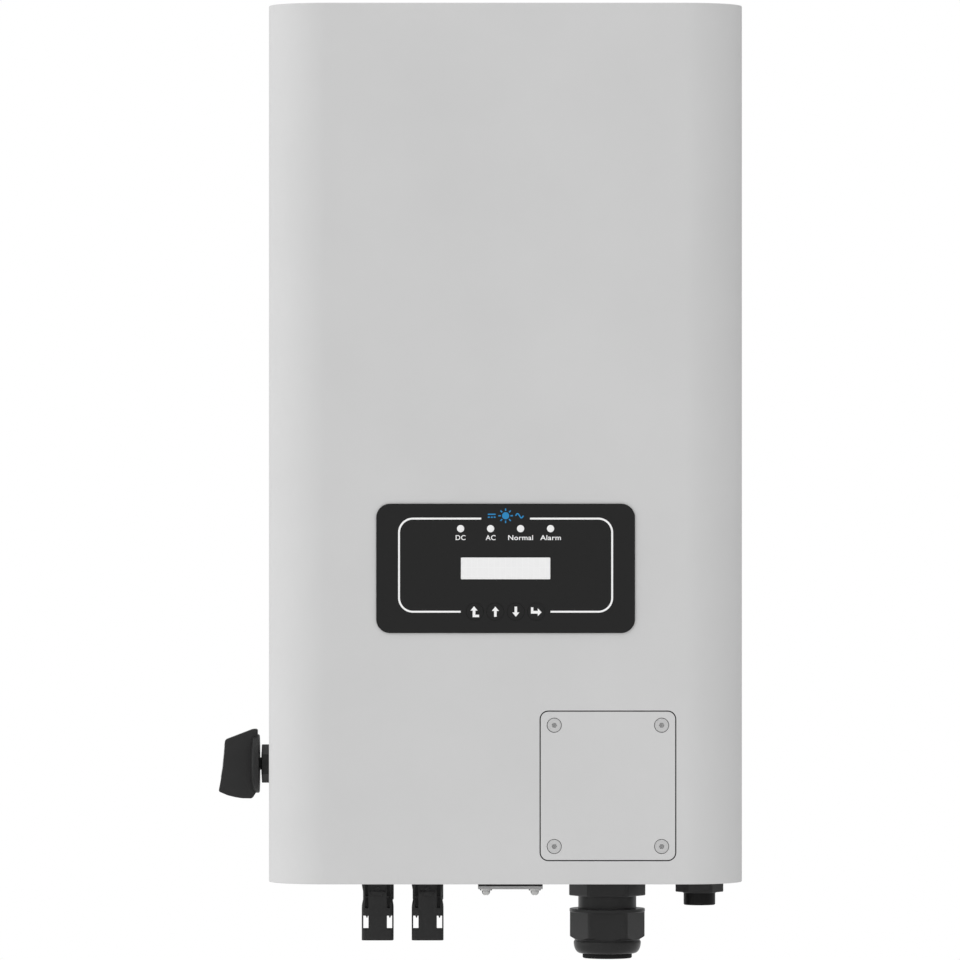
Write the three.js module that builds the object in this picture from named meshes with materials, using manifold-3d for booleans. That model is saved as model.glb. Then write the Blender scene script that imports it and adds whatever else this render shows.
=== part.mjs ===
// String inverter: a wall-hung solar power converter in an aluminium cabinet, with a heat sink
// behind, a display and keypad in front, a switch on its left side and its connections below.
// Millimetres, +Z up, the front faces -Y, the wall is the plane y = 0 and x = 0 is the middle.
import * as THREE from "three";
import { mergeVertices } from "three/addons/utils/BufferGeometryUtils.js";
import Module from "manifold-3d";

const wasm = await Module();
wasm.setup();

// ---------- Driving dimensions ----------

const fit = 0.3; // air between pieces that rest on, or in, each other

// Cabinet: a U-shaped shell closed by a plate at each end and the heat sink behind.
const bodyWidth = 295;
const bodyHeight = 546;
const bodyDepth = 190; // from the wall to the front face
const edgeRadius = 36; // of the two upright front edges
const shellWall = 2.5;
const shellOverlap = 10; // how far the shell's sides run past the front of the heat sink's base
const plateThickness = 4;
const plateInset = 1; // end plates sit this far inside the shell's rims
const tabMargin = 8; // from the shell's curved edges in front and the body gasket behind
const tabHeight = 18;
const tabThickness = 3;
const bodyGasketWidth = 8;
const bodyGasketThickness = 2.5;

// Heat sink and the plate that hangs it on the wall.
const baseThickness = 8;
const finDepth = 40;
const finPitch = 12;
const finRoot = 3.2;
const finTip = 2.2;
const finMargin = 8; // from the outermost fins to the base's edges, at least
const railWidth = 10;
const railInset = 21; // from the hanger's sides to the middle of each rail
const hangerWidth = 210;
const hangerHeight = 320;
const hangerThickness = 3;
const hangerRadius = 8;
const headRoom = 9; // for the heads of the wall screws, between hanger and fin tips
const keyholeSpacing = 110;
const keyholeRise = 120; // of the keyholes above, and the plain holes below, the middle
const keyholeHead = 14;
const keyholeSlot = 7;
const keyholeLength = 14; // from the middle of the head hole to the middle of the slot's end
const hangerScrewRise = 96;
const hangerScrewDiameter = 5;
const hangerScrewHead = 9.6;
const hangerScrewLength = 14;

// Display and keypad on the front.
const displayRise = 195.7; // from the cabinet's bottom to the middle of the label
const labelWidth = 160.2;
const labelHeight = 80.1;
const labelRadius = 8.6;
const labelThickness = 0.8;
const windowWidth = 56;
const windowHeight = 14.1;
const windowRadius = 0.6;
const lampDiameter = 4.5;
const lampPitch = 18.56;
const lampRise = 24.6; // above the middle of the label
const keyDiameter = 10.4;
const keyGap = 2.26; // between neighbouring keys
const keyDrop = 26.8; // below the middle of the label
const keyThickness = 2.6;
const keyStem = 4;
const keyTravel = 0.5;
const slotMargin = 1; // by which the shell's slots are larger than what passes through them
const boardThickness = 1.6;
const boardSetback = 10.4; // from the front face to the front of the display board
const boardBorder = 4; // by which the label outreaches the display board
const keySwitchSize = 6;
const moduleWidth = 84;
const moduleHeight = 38;
const studDiameter = 7;
const studInset = 8;

// Terminal cover in the lower right of the front.
const coverInset = 84.1; // from the cabinet's right side to the middle of the cover
const coverRise = 61; // from the cabinet's bottom to the middle of the cover
const coverWidth = 84.3;
const coverHeight = 92.9;
const coverRadius = 5;
const coverThickness = 4;
const coverGap = 0.6; // the visible joint line around the cover
const coverScrewInset = 8.9;
const coverScrewDiameter = 5;
const coverScrewHead = 9.4;
const coverScrewHeadHeight = 2.5;
const coverScrewLength = 14;
const coverScrewSocket = 2.9;
const frameLap = 5.5; // by which the frame laps the shell around the opening
const frameThickness = 5.8;
const frameLedge = 15.2; // from the cover's edge to the inside of the frame
const coverGasketWidth = 3;
const coverGasketThickness = 1.2;
const coverGasketInset = 2.3;

// Load-break switch on the left side.
const switchRise = 71.9; // from the cabinet's bottom to the switch's axis
const switchBodySize = 56;
const switchBodyDepth = 60;
const bushDiameter = 16;
const panelNutFlats = 21.1;
const panelNutHeight = 5.4;
const shaftDiameter = 7.8;
const knobGap = 1.4; // between the panel nut and the knob
const skirtDiameter = 36.8;
const skirtThickness = 3.8;
const gripThickness = 12;
const gripReach = 25.7; // from the back of the skirt to the far corner of the grip
const gripTop = 21.5;
const gripBottom = 21.8;

// Connections on the bottom plate, from left to right.
const connectionsFromBase = 52.5; // from the heat sink's base to the line of the connections
const connectorWidth = 19.3;
const connectorDepth = 15.6;
const connectorGap = 12; // between the two connectors of a row
const connectorRowGap = 19.4; // between the rows
const connectorRadius = 3;
const connectorLength = 39; // below the bottom plate
const connectorThread = 16;
const innerNutHeight = 5;
const innerNutWall = 3; // around the thread, across the flats
const waistDepth = 0.7;
const coreDiameter = 10.8;
const noseDiameter = 9.4;
const commsWidth = 40.3;
const commsDepth = 52;
const commsRadius = 3;
const commsFromFront = 24;
const commsGasketThickness = 2.7;
const commsCoverThickness = 2;
const commsScrewInset = 5;
const commsOpeningInset = 10;
const commsScrewDiameter = 3;
const commsScrewHead = 5.1;
const commsScrewWasher = 7.5;
const commsScrewHeight = 3.8;
const commsScrewLength = 16;
const glandFlangeFlats = 42.4;
const glandFlangeHeight = 11.6;
const glandThread = 32;
const glandNeck = 36.5;
const glandBore = 25;
const glandNutFlats = 41.4;
const glandNutTop = 19.9; // from the bottom plate down to the top of the dome nut
const glandNutHeight = 28.4;
const glandDomeDiameter = 42.3;
const glandSealDiameter = 30.5;
const glandCableBore = 18;
const hexCornerRadius = 4;
const portFlangeFlats = 26.3;
const portFlangeHeight = 9.3;
const portLength = 17.7;
const portDiameter = 19.9;
const portThread = 16;
const portBore = 14.8;
const portPins = 5;

// Electronics inside.
const powerBoardBorder = 28; // from the cabinet's ends to the board's
const powerBoardSetback = 14; // from the heat sink's base to the board
const powerBoardThickness = 2;
const boardClearance = 3; // around what passes through a notch in the board
const bossDiameter = 8;
const terminalBlockWidth = 62;
const terminalBlockDepth = 40;
const terminalBlockHeight = 26;
const terminalPoles = 5;
const capacitorDiameter = 30;
const capacitorLength = 46;
const capacitorPitch = 36;
const inductorDiameter = 78;
const inductorBore = 34;
const inductorHeight = 38;
const inductorSpacing = 130;

// ---------- Stations worked out from the driving dimensions ----------

const bottom = -bodyHeight / 2;
const finTipY = -(hangerThickness + headRoom);
const baseRearY = finTipY - finDepth;
const baseFrontY = baseRearY - baseThickness;
const plateRearY = baseFrontY - bodyGasketThickness - 2 * fit;
const shellRearY = baseFrontY + shellOverlap;
const baseWidth = bodyWidth - 2 * (shellWall + fit);
const baseHeight = bodyHeight - 2 * plateInset;
const railX = hangerWidth / 2 - railInset;
const displayZ = bottom + displayRise;
const keyPitch = keyDiameter + keyGap;
const connectorPitch = connectorWidth + connectorGap;
const connectorRowPitch = connectorDepth + connectorRowGap;
const coverX = bodyWidth / 2 - coverInset;
const coverZ = bottom + coverRise;
const connectionsY = baseFrontY - connectionsFromBase;
const switchY = (-bodyDepth + edgeRadius + plateRearY) / 2; // middle of the side's flat part
const powerBoardRearY = baseFrontY - powerBoardSetback;
const powerBoardFrontY = powerBoardRearY - powerBoardThickness;

const acrossCorners = (flats) => flats / Math.cos(Math.PI / 6);

// The connection groups keep the proportions of the gaps between them when the cabinet changes.
const groupWidths = [
  connectorPitch + connectorWidth,
  commsWidth,
  acrossCorners(glandFlangeFlats),
  acrossCorners(portFlangeFlats),
];
const gapShares = [57.8, 21.9, 16.5, 18.3, 10.1];

function middlesAlong(width, groups, shares) {
  const free = width - groups.reduce((sum, size) => sum + size, 0);
  const allShares = shares.reduce((sum, share) => sum + share, 0);
  let edge = -width / 2;
  return groups.map((size, index) => {
    edge += (free * shares[index]) / allShares + size;
    return edge - size / 2;
  });
}

const [connectorsX, commsX, glandX, portX] = middlesAlong(bodyWidth, groupWidths, gapShares);

// ---------- Shapes and solids ----------

const arc = (x, y, radius, from, to, steps) =>
  Array.from({ length: steps + 1 }, (_, index) => {
    const angle = THREE.MathUtils.degToRad(from + ((to - from) * index) / steps);
    return new THREE.Vector2(x + radius * Math.cos(angle), y + radius * Math.sin(angle));
  });

const circle = (diameter, x = 0, y = 0, steps = 16) =>
  arc(x, y, diameter / 2, 0, 360, steps).slice(0, -1);

function roundedRectangle(width, height, radius, x = 0, y = 0, steps = 3) {
  const dx = width / 2 - radius;
  const dy = height / 2 - radius;
  return [
    ...arc(x + dx, y + dy, radius, 0, 90, steps),
    ...arc(x - dx, y + dy, radius, 90, 180, steps),
    ...arc(x - dx, y - dy, radius, 180, 270, steps),
    ...arc(x + dx, y - dy, radius, 270, 360, steps),
  ];
}

// A hexagon with two flats facing +Y and -Y and its corners rounded.
function hexagon(flats, cornerRadius = 0.5, steps = 1) {
  const reach = (flats / 2 - cornerRadius) / Math.cos(Math.PI / 6);
  const corners = [0, 60, 120, 180, 240, 300];
  return corners.flatMap((angle) => {
    const [middle] = arc(0, 0, reach, angle, angle, 1);
    return arc(middle.x, middle.y, cornerRadius, angle - 30, angle + 30, steps);
  });
}

// The cabinet's outline seen from above, from its right rear corner round the front to the left.
function cabinetOutline(inset, rearY, steps = 8) {
  const side = bodyWidth / 2 - inset;
  const front = -bodyDepth + inset;
  const radius = edgeRadius - inset;
  return [
    new THREE.Vector2(side, rearY),
    ...arc(side - radius, front + radius, radius, 0, -90, steps),
    ...arc(-side + radius, front + radius, radius, -90, -180, steps),
    new THREE.Vector2(-side, rearY),
  ];
}

// A flat outline drawn out along +Z between two heights, with any holes through it.
function prism(outline, from, to, holes = []) {
  const shape = new THREE.Shape(outline);
  shape.holes = holes.map((points) => new THREE.Path(points));
  const geometry = new THREE.ExtrudeGeometry(shape, { depth: to - from, bevelEnabled: false });
  return geometry.translate(0, 0, from);
}

const cylinder = (diameter, from, to, x = 0, y = 0, steps = 16) =>
  prism(circle(diameter, x, y, steps), from, to);

const block = (x0, x1, y0, y1, z0, z1) =>
  new THREE.BoxGeometry(x1 - x0, y1 - y0, z1 - z0).translate(
    (x0 + x1) / 2, (y0 + y1) / 2, (z0 + z1) / 2,
  );

// A profile of [radius, height] pairs, counterclockwise, turned about the Z axis.
function turned(profile, steps = 18) {
  const points = profile.map(([radius, height]) => new THREE.Vector2(radius, height));
  const onAxis = profile[0][0] === 0;
  const outline = onAxis ? points : [...points, points[0]];
  return new THREE.LatheGeometry(outline, steps).rotateX(Math.PI / 2);
}

function toSolid(geometry) {
  const bare = geometry.clone();
  bare.deleteAttribute("normal");
  bare.deleteAttribute("uv");
  const merged = mergeVertices(bare, 1e-4);
  return new wasm.Manifold(
    new wasm.Mesh({
      numProp: 3,
      vertProperties: merged.attributes.position.array,
      triVerts: Uint32Array.from(merged.index.array),
    }),
  );
}

function toGeometry(solid) {
  const mesh = solid.getMesh();
  const geometry = new THREE.BufferGeometry();
  geometry.setAttribute("position", new THREE.BufferAttribute(mesh.vertProperties, 3));
  geometry.setIndex(new THREE.BufferAttribute(mesh.triVerts, 1));
  geometry.computeVertexNormals();
  return geometry;
}

const joined = (...pieces) => toGeometry(pieces.map(toSolid).reduce((sum, next) => sum.add(next)));

const cut = (piece, ...tools) =>
  toGeometry(tools.map(toSolid).reduce((rest, tool) => rest.subtract(tool), toSolid(piece)));

const common = (piece, other) => toGeometry(toSolid(piece).intersect(toSolid(other)));

// ---------- Groups that turn a face of the cabinet into a local XY plane ----------

function placedGroup(position, rotation) {
  const group = new THREE.Group();
  group.position.set(...position);
  group.rotation.set(...rotation);
  group.updateMatrix();
  return group;
}

// Local +Z points out of the front, local +Y up.
const frontFace = placedGroup([0, -bodyDepth, 0], [Math.PI / 2, 0, 0]);
// Local +Z points down out of the bottom plate, local +Y to the front.
const underside = placedGroup([0, 0, bottom + plateInset], [Math.PI, 0, 0]);
// Local +Z points out of the left side along the switch's axis, local +X up.
const switchSide = placedGroup(
  [-bodyWidth / 2, switchY, bottom + switchRise],
  [0, -Math.PI / 2, 0],
);
// Local +Z points from the wall into the cabinet, local +Y up.
const wallSide = placedGroup([0, 0, 0], [Math.PI / 2, 0, 0]);

const inverter = new THREE.Group();
inverter.add(frontFace, underside, switchSide, wallSide);

const within = (geometry, group) => geometry.applyMatrix4(group.matrix);

// ---------- Materials ----------

const finish = (color, metalness, roughness) =>
  new THREE.MeshStandardMaterial({ color, metalness, roughness });

const paintedAluminium = finish(0xc9c9c9, 0.1, 0.55);
const bareAluminium = finish(0xb4b6b8, 0.85, 0.4);
const zincSteel = finish(0x9b9b9b, 0.85, 0.35);
const blackFilm = finish(0x292929, 0, 0.5);
const clearPlastic = finish(0xededed, 0, 0.2);
const lampPlastic = finish(0xefefef, 0, 0.4);
const blackPolyamide = finish(0x303030, 0, 0.6);
const portPlastic = finish(0x1d1d1d, 0, 0.45);
const blackRubber = finish(0x1a1a1a, 0, 0.9);
const circuitBoard = finish(0x2f5f3a, 0, 0.6);
const greyPlastic = finish(0x8a8d90, 0, 0.6);
const copperWinding = finish(0xa8652c, 0.6, 0.4);
const capacitorSleeve = finish(0x23262b, 0.1, 0.5);

function add(name, geometry, material, parent = inverter) {
  const mesh = new THREE.Mesh(geometry, material);
  mesh.name = name;
  parent.add(mesh);
  return mesh;
}

// ---------- Cabinet ----------

const displayLamps = [-1.5, -0.5, 0.5, 1.5].map((step) => step * lampPitch);
const displayKeys = [-1.5, -0.5, 0.5, 1.5].map((step) => step * keyPitch);
const studPlaces = [-1, 1].flatMap((side) =>
  [-1, 1].map((end) => [
    side * (labelWidth / 2 - boardBorder - studInset),
    displayZ + end * (labelHeight / 2 - boardBorder - studInset),
  ]),
);
const coverScrewPlaces = [-1, 1].flatMap((side) =>
  [-1, 1].map((end) => [
    coverX + side * (coverWidth / 2 - coverScrewInset),
    coverZ + end * (coverHeight / 2 - coverScrewInset),
  ]),
);

function frontShell() {
  const outline = [
    ...cabinetOutline(0, shellRearY),
    ...cabinetOutline(shellWall, shellRearY).reverse(),
  ];
  const keypad = 3 * keyPitch + keyDiameter + 2 * slotMargin;
  const lamps = 3 * lampPitch + lampDiameter + 2 * slotMargin;
  const keySlot = keyDiameter + 2 * slotMargin;
  const lampSlot = lampDiameter + 2 * slotMargin;
  const openings = [
    roundedRectangle(windowWidth, windowHeight, windowRadius, 0, displayZ),
    roundedRectangle(keypad, keySlot, keySlot / 2 - 0.01, 0, displayZ - keyDrop),
    roundedRectangle(lamps, lampSlot, lampSlot / 2 - 0.01, 0, displayZ + lampRise),
    roundedRectangle(
      coverWidth + 2 * coverGap, coverHeight + 2 * coverGap, coverRadius + coverGap, coverX, coverZ,
    ),
  ].map((points) => within(prism(points, -2 * shellWall, shellWall), frontFace));
  const switchHole = within(
    cylinder(bushDiameter + 2 * fit, -2 * shellWall, shellWall), switchSide,
  );
  const studs = studPlaces.map(([x, y]) =>
    within(cylinder(studDiameter, -boardSetback + fit, -shellWall / 2, x, y, 16), frontFace),
  );
  const wall = prism(outline, bottom, -bottom);
  return cut(joined(wall, ...studs), ...openings, switchHole);
}

// A flat plate inside the shell's end, with a tab at each side that the shell is screwed to.
function endPlate(outerZ, innerZ) {
  const side = bodyWidth / 2 - shellWall - fit;
  const tabFront = -bodyDepth + edgeRadius + tabMargin;
  const direction = Math.sign(innerZ - outerZ);
  const tabEnds = [innerZ - direction, innerZ + direction * tabHeight].sort((a, b) => a - b);
  const plate = prism(
    cabinetOutline(shellWall + fit, plateRearY), Math.min(outerZ, innerZ), Math.max(outerZ, innerZ),
  );
  const tabs = [-side, side - tabThickness].map((x) =>
    block(x, x + tabThickness, tabFront, plateRearY - tabMargin, ...tabEnds),
  );
  return joined(plate, ...tabs);
}

const topPlate = () => endPlate(-bottom - plateInset, -bottom - plateInset - plateThickness);

const connectorPlaces = {
  dc_connector_plus_1: [connectorsX - connectorPitch / 2, -connectionsY + connectorRowPitch / 2],
  dc_connector_plus_2: [connectorsX + connectorPitch / 2, -connectionsY + connectorRowPitch / 2],
  dc_connector_minus_1: [connectorsX - connectorPitch / 2, -connectionsY - connectorRowPitch / 2],
  dc_connector_minus_2: [connectorsX + connectorPitch / 2, -connectionsY - connectorRowPitch / 2],
};
const commsY = bodyDepth - commsFromFront - commsDepth / 2;
const commsScrewPlaces = [-1, 1].flatMap((side) =>
  [-1, 1].map((end) => [
    commsX + side * (commsWidth / 2 - commsScrewInset),
    commsY + end * (commsDepth / 2 - commsScrewInset),
  ]),
);
const commsOpening = (margin = 0) =>
  roundedRectangle(
    commsWidth - 2 * (commsOpeningInset - margin), commsDepth - 2 * (commsOpeningInset - margin),
    commsRadius, commsX, commsY,
  );

function bottomPlate() {
  const outer = bottom + plateInset;
  const through = (diameter, [x, y], steps = 20) =>
    within(
      cylinder(diameter + 2 * fit, -2 * plateThickness, plateThickness, x, y, steps), underside,
    );
  return cut(
    endPlate(outer, outer + plateThickness),
    ...Object.values(connectorPlaces).map((place) => through(connectorThread, place)),
    ...commsScrewPlaces.map((place) => through(commsScrewDiameter, place, 12)),
    through(glandThread, [glandX, -connectionsY]),
    through(portThread, [portX, -connectionsY]),
    within(prism(commsOpening(), -2 * plateThickness, plateThickness), underside),
  );
}

function bodyGasket() {
  const inner = roundedRectangle(
    baseWidth - 2 * bodyGasketWidth, baseHeight - 2 * bodyGasketWidth, bodyGasketWidth,
  );
  const front = -baseFrontY + fit + bodyGasketThickness;
  return prism(roundedRectangle(baseWidth, baseHeight, 1), -baseFrontY + fit, front, [inner]);
}

add("front_shell", frontShell(), paintedAluminium);
add("top_plate", topPlate(), paintedAluminium);
add("bottom_plate", bottomPlate(), paintedAluminium);
add("body_gasket", bodyGasket(), blackRubber, wallSide);

// ---------- Heat sink and hanger ----------

const hangerScrewPlaces = [-1, 1].flatMap((side) =>
  [-1, 1].map((end) => [side * railX, end * hangerScrewRise]),
);
const powerBoardHeight = bodyHeight - 2 * powerBoardBorder;
const powerBoardWidth = baseWidth - powerBoardBorder;
const bossPlaces = [-1, 1].flatMap((side) =>
  [-1, 0, 1].map((end) => [
    side * (powerBoardWidth / 2 - bossDiameter), end * (powerBoardHeight / 2 - bossDiameter),
  ]),
);

function heatSink() {
  const outermost = Math.floor((baseWidth / 2 - finMargin) / finPitch);
  const steps = Array.from({ length: 2 * outermost + 1 }, (_, index) => index - outermost);
  const clearOfRails = (x) => Math.abs(Math.abs(x) - railX) > (railWidth + finRoot) / 2;
  const fins = steps
    .map((step) => step * finPitch)
    .filter(clearOfRails)
    .map((x) => fin(x, finRoot, finTip, finTipY));
  const rails = [-railX, railX].map((x) => fin(x, railWidth, railWidth, -hangerThickness - fit));
  const base = block(
    -baseWidth / 2, baseWidth / 2, baseFrontY, baseRearY, -baseHeight / 2, baseHeight / 2,
  );
  const bosses = bossPlaces.map(([x, y]) =>
    within(
      cylinder(bossDiameter, -baseFrontY - 1, -powerBoardRearY - fit, x, y, 12), wallSide,
    ),
  );
  const screwHoles = hangerScrewPlaces.map(([x, y]) =>
    within(
      cylinder(
        hangerScrewDiameter + 2 * fit, -1, hangerScrewLength + 2 * fit, x, y, 12,
      ), wallSide,
    ),
  );
  return cut(joined(base, ...fins, ...rails, ...bosses), ...screwHoles);
}

// One upright fin or rail, rooted in the heat sink's base.
function fin(x, root, tip, tipY) {
  const outline = [
    new THREE.Vector2(x - root / 2, baseRearY - 1),
    new THREE.Vector2(x + root / 2, baseRearY - 1),
    new THREE.Vector2(x + tip / 2, tipY),
    new THREE.Vector2(x - tip / 2, tipY),
  ];
  return prism(outline, -baseHeight / 2, baseHeight / 2);
}

function hangerPlate() {
  const sides = [-keyholeSpacing / 2, keyholeSpacing / 2];
  const keyholes = sides.flatMap((x) => [
    cylinder(keyholeHead, -1, hangerThickness + 1, x, keyholeRise),
    cylinder(keyholeSlot, -1, hangerThickness + 1, x, keyholeRise + keyholeLength),
    block(
      x - keyholeSlot / 2, x + keyholeSlot / 2,
      keyholeRise, keyholeRise + keyholeLength, -1, hangerThickness + 1,
    ),
  ]);
  const lowerHoles = sides.map((x) =>
    cylinder(keyholeSlot, -1, hangerThickness + 1, x, -keyholeRise),
  );
  const screwHoles = hangerScrewPlaces.map(([x, y]) => countersink(fit).translate(x, y, 0));
  return cut(
    prism(roundedRectangle(hangerWidth, hangerHeight, hangerRadius), 0, hangerThickness),
    ...keyholes, ...lowerHoles, ...screwHoles,
  );
}

// A countersunk screw's outer form from its flat head down, grown all round by a clearance.
function countersink(clearance) {
  const head = hangerScrewHead / 2 + clearance;
  const shank = hangerScrewDiameter / 2 + clearance;
  return turned(
    [
      [0, -clearance],
      [head, -clearance],
      [head, fit],
      [shank, head - shank + fit],
      [shank, hangerScrewLength + clearance],
      [0, hangerScrewLength + clearance],
    ],
    16,
  );
}

const hangerScrew = () =>
  cut(countersink(0).translate(0, 0, fit), prism(hexagon(3, 0.2), fit - 1, fit + 1.8));

add("heat_sink", heatSink(), bareAluminium);
add("hanger_plate", hangerPlate(), zincSteel, wallSide);
hangerScrewPlaces.forEach(([x, y], index) => {
  add(`hanger_screw_${index + 1}`, hangerScrew(), zincSteel, wallSide).position.set(x, y, 0);
});

// ---------- Display and keypad ----------

const labelBack = fit;
const labelFront = fit + labelThickness;

function displayOverlay() {
  const holes = [
    roundedRectangle(windowWidth, windowHeight, windowRadius),
    ...displayLamps.map((x) => circle(lampDiameter + 2 * fit, x, lampRise, 20)),
    ...displayKeys.map((x) => circle(keyDiameter + 2 * fit, x, -keyDrop)),
  ];
  return prism(
    roundedRectangle(labelWidth, labelHeight, labelRadius), labelBack, labelFront, holes,
  );
}

// The clear window reaches through the shell and rests on the liquid-crystal module.
const displayWindow = () =>
  prism(
    roundedRectangle(windowWidth - 2 * fit, windowHeight - 2 * fit, windowRadius),
    -shellWall - fit, labelFront,
  );

const displayModule = () =>
  prism(
    roundedRectangle(moduleWidth, moduleHeight, 2), -boardSetback + fit, -shellWall - 2 * fit,
  );

const keySwitchTop = labelFront - keyThickness - keyTravel - 3.5;

function displayBoard() {
  const board = prism(
    roundedRectangle(labelWidth - 2 * boardBorder, labelHeight - 2 * boardBorder, 3),
    -boardSetback - boardThickness, -boardSetback,
  );
  const half = keySwitchSize / 2;
  const switches = displayKeys.map((x) =>
    block(
      x - half, x + half, -keyDrop - half, -keyDrop + half, -boardSetback - 0.5, keySwitchTop,
    ),
  );
  return joined(board, ...switches);
}

const lampPipe = () => cylinder(lampDiameter, -boardSetback + fit, labelFront, 0, 0, 20);

// A flush key on a stem that presses its switch; a little air is left for its travel.
const key = () =>
  joined(
    cylinder(keyDiameter, labelFront - keyThickness, labelFront),
    cylinder(keyStem, keySwitchTop + keyTravel + fit / 2, labelFront - keyThickness + 1, 0, 0, 16),
  );

const displayPanel = placedGroup([0, displayZ, 0], [0, 0, 0]);
frontFace.add(displayPanel);
add("display_overlay", displayOverlay(), blackFilm, displayPanel);
add("display_window", displayWindow(), clearPlastic, displayPanel);
add("display_module", displayModule(), greyPlastic, displayPanel);
add("display_board", displayBoard(), circuitBoard, displayPanel);
displayLamps.forEach((x, index) => {
  add(`lamp_pipe_${index + 1}`, lampPipe(), lampPlastic, displayPanel).position.set(x, lampRise, 0);
});
["key_back", "key_up", "key_down", "key_enter"].forEach((name, index) => {
  add(name, key(), blackFilm, displayPanel).position.set(displayKeys[index], -keyDrop, 0);
});

// ---------- Terminal cover ----------

const frameFront = -shellWall - fit;
const frameBack = frameFront - frameThickness;
const frameFloor = -coverThickness - fit;
const frameOpeningWidth = coverWidth - 2 * frameLedge;
const frameOpeningHeight = coverHeight - 2 * frameLedge;

// A rounded rectangle that stands off the frame's inner opening by a margin.
const aroundOpening = (margin) =>
  roundedRectangle(
    frameOpeningWidth + 2 * margin, frameOpeningHeight + 2 * margin, 4 + margin, coverX, coverZ,
  );

function terminalFrame() {
  const recess = (extra) =>
    roundedRectangle(
      coverWidth + 2 * (coverGap + extra), coverHeight + 2 * (coverGap + extra),
      coverRadius + coverGap + extra, coverX, coverZ,
    );
  const groove = prism(
    aroundOpening(coverGasketInset + coverGasketWidth + fit),
    frameFloor - coverGasketThickness - fit, frameFloor + 1,
    [aroundOpening(coverGasketInset - fit)],
  );
  return cut(
    prism(recess(frameLap), frameBack, frameFront, [aroundOpening(0)]),
    prism(recess(0), frameFloor, frameFront + 1),
    groove,
    ...coverScrewPlaces.map(([x, y]) =>
      cylinder(coverScrewDiameter + 2 * fit, frameBack - 1, frameFront + 1, x, y, 12),
    ),
  );
}

const terminalGasket = () =>
  prism(
    aroundOpening(coverGasketInset + coverGasketWidth),
    frameFloor - coverGasketThickness, frameFloor, [aroundOpening(coverGasketInset)],
  );

function terminalCover() {
  const holes = coverScrewPlaces.flatMap(([x, y]) => [
    cylinder(coverScrewDiameter + 2 * fit, -coverThickness - 1, 1, x, y, 12),
    cylinder(coverScrewHead + 2 * fit, -coverScrewHeadHeight - fit, 1, x, y),
  ]);
  return cut(
    prism(
      roundedRectangle(coverWidth, coverHeight, coverRadius, coverX, coverZ), -coverThickness, 0,
    ),
    ...holes,
  );
}

const terminalScrew = () =>
  cut(
    joined(
      cylinder(coverScrewHead, -coverScrewHeadHeight, 0),
      cylinder(coverScrewDiameter, -coverScrewLength, -coverScrewHeadHeight + 1, 0, 0, 12),
    ),
    prism(hexagon(coverScrewSocket, 0.2), -coverScrewHeadHeight + 0.9, 1),
  );

add("terminal_frame", terminalFrame(), bareAluminium, frontFace);
add("terminal_gasket", terminalGasket(), blackRubber, frontFace);
add("terminal_cover", terminalCover(), paintedAluminium, frontFace);
coverScrewPlaces.forEach(([x, y], index) => {
  add(`terminal_screw_${index + 1}`, terminalScrew(), zincSteel, frontFace).position.set(x, y, 0);
});

// ---------- Load-break switch ----------

const panelNutTop = fit + panelNutHeight;
const skirtBack = panelNutTop + knobGap;
const skirtFront = skirtBack + skirtThickness;
const shaftTop = skirtFront + 6;

function switchBody() {
  const half = switchBodySize / 2;
  const wallInside = -shellWall - fit;
  return cut(
    joined(
      block(-half, half, -half, half, wallInside - switchBodyDepth, wallInside),
      cylinder(bushDiameter, wallInside - 1, panelNutTop),
    ),
    cylinder(shaftDiameter + 2 * fit, wallInside - 30, panelNutTop + 1),
  );
}

const switchNut = () =>
  prism(hexagon(panelNutFlats), fit, panelNutTop, [circle(bushDiameter + 2 * fit)]);

const switchShaft = () => cylinder(shaftDiameter, -shellWall - 29, shaftTop);

// The grip is a thick slanted bar across the skirt, its outer edge hollowed a little.
function switchKnob() {
  const reach = skirtBack + gripReach;
  const outline = [
    [skirtBack + 2.2, -gripBottom + 3.6],
    [skirtBack + 1.2, 10],
    [skirtBack + 1.2, gripTop],
    [skirtFront + 0.3, gripTop],
    [reach - 4, gripTop - 6.5],
    [reach - 3.6, 8],
    [reach - 2.7, -1.5],
    [reach - 1.2, -11],
    [reach, -gripBottom + 4.4],
    [reach - 5.6, -gripBottom + 2],
    [reach - 10.4, -gripBottom + 0.8],
    [reach - 14.8, -gripBottom + 0.1],
    [skirtFront + 0.7, -gripBottom],
  ].map(([out, up]) => new THREE.Vector2(up, out));
  const grip = prism(outline, -gripThickness / 2, gripThickness / 2).rotateX(Math.PI / 2);
  return cut(
    joined(cylinder(skirtDiameter, skirtBack, skirtFront, 0, 0, 36), grip),
    cylinder(shaftDiameter + 2 * fit, skirtBack - 1, shaftTop + fit),
  );
}

add("switch_body", switchBody(), greyPlastic, switchSide);
add("switch_nut", switchNut(), blackPolyamide, switchSide);
add("switch_shaft", switchShaft(), blackPolyamide, switchSide);
add("switch_knob", switchKnob(), blackPolyamide, switchSide);

// ---------- Direct-current connectors ----------

const threadTop = -plateThickness - innerNutHeight - 4;
const connectorThreadPiece = () => cylinder(connectorThread, threadTop, 2);

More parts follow.
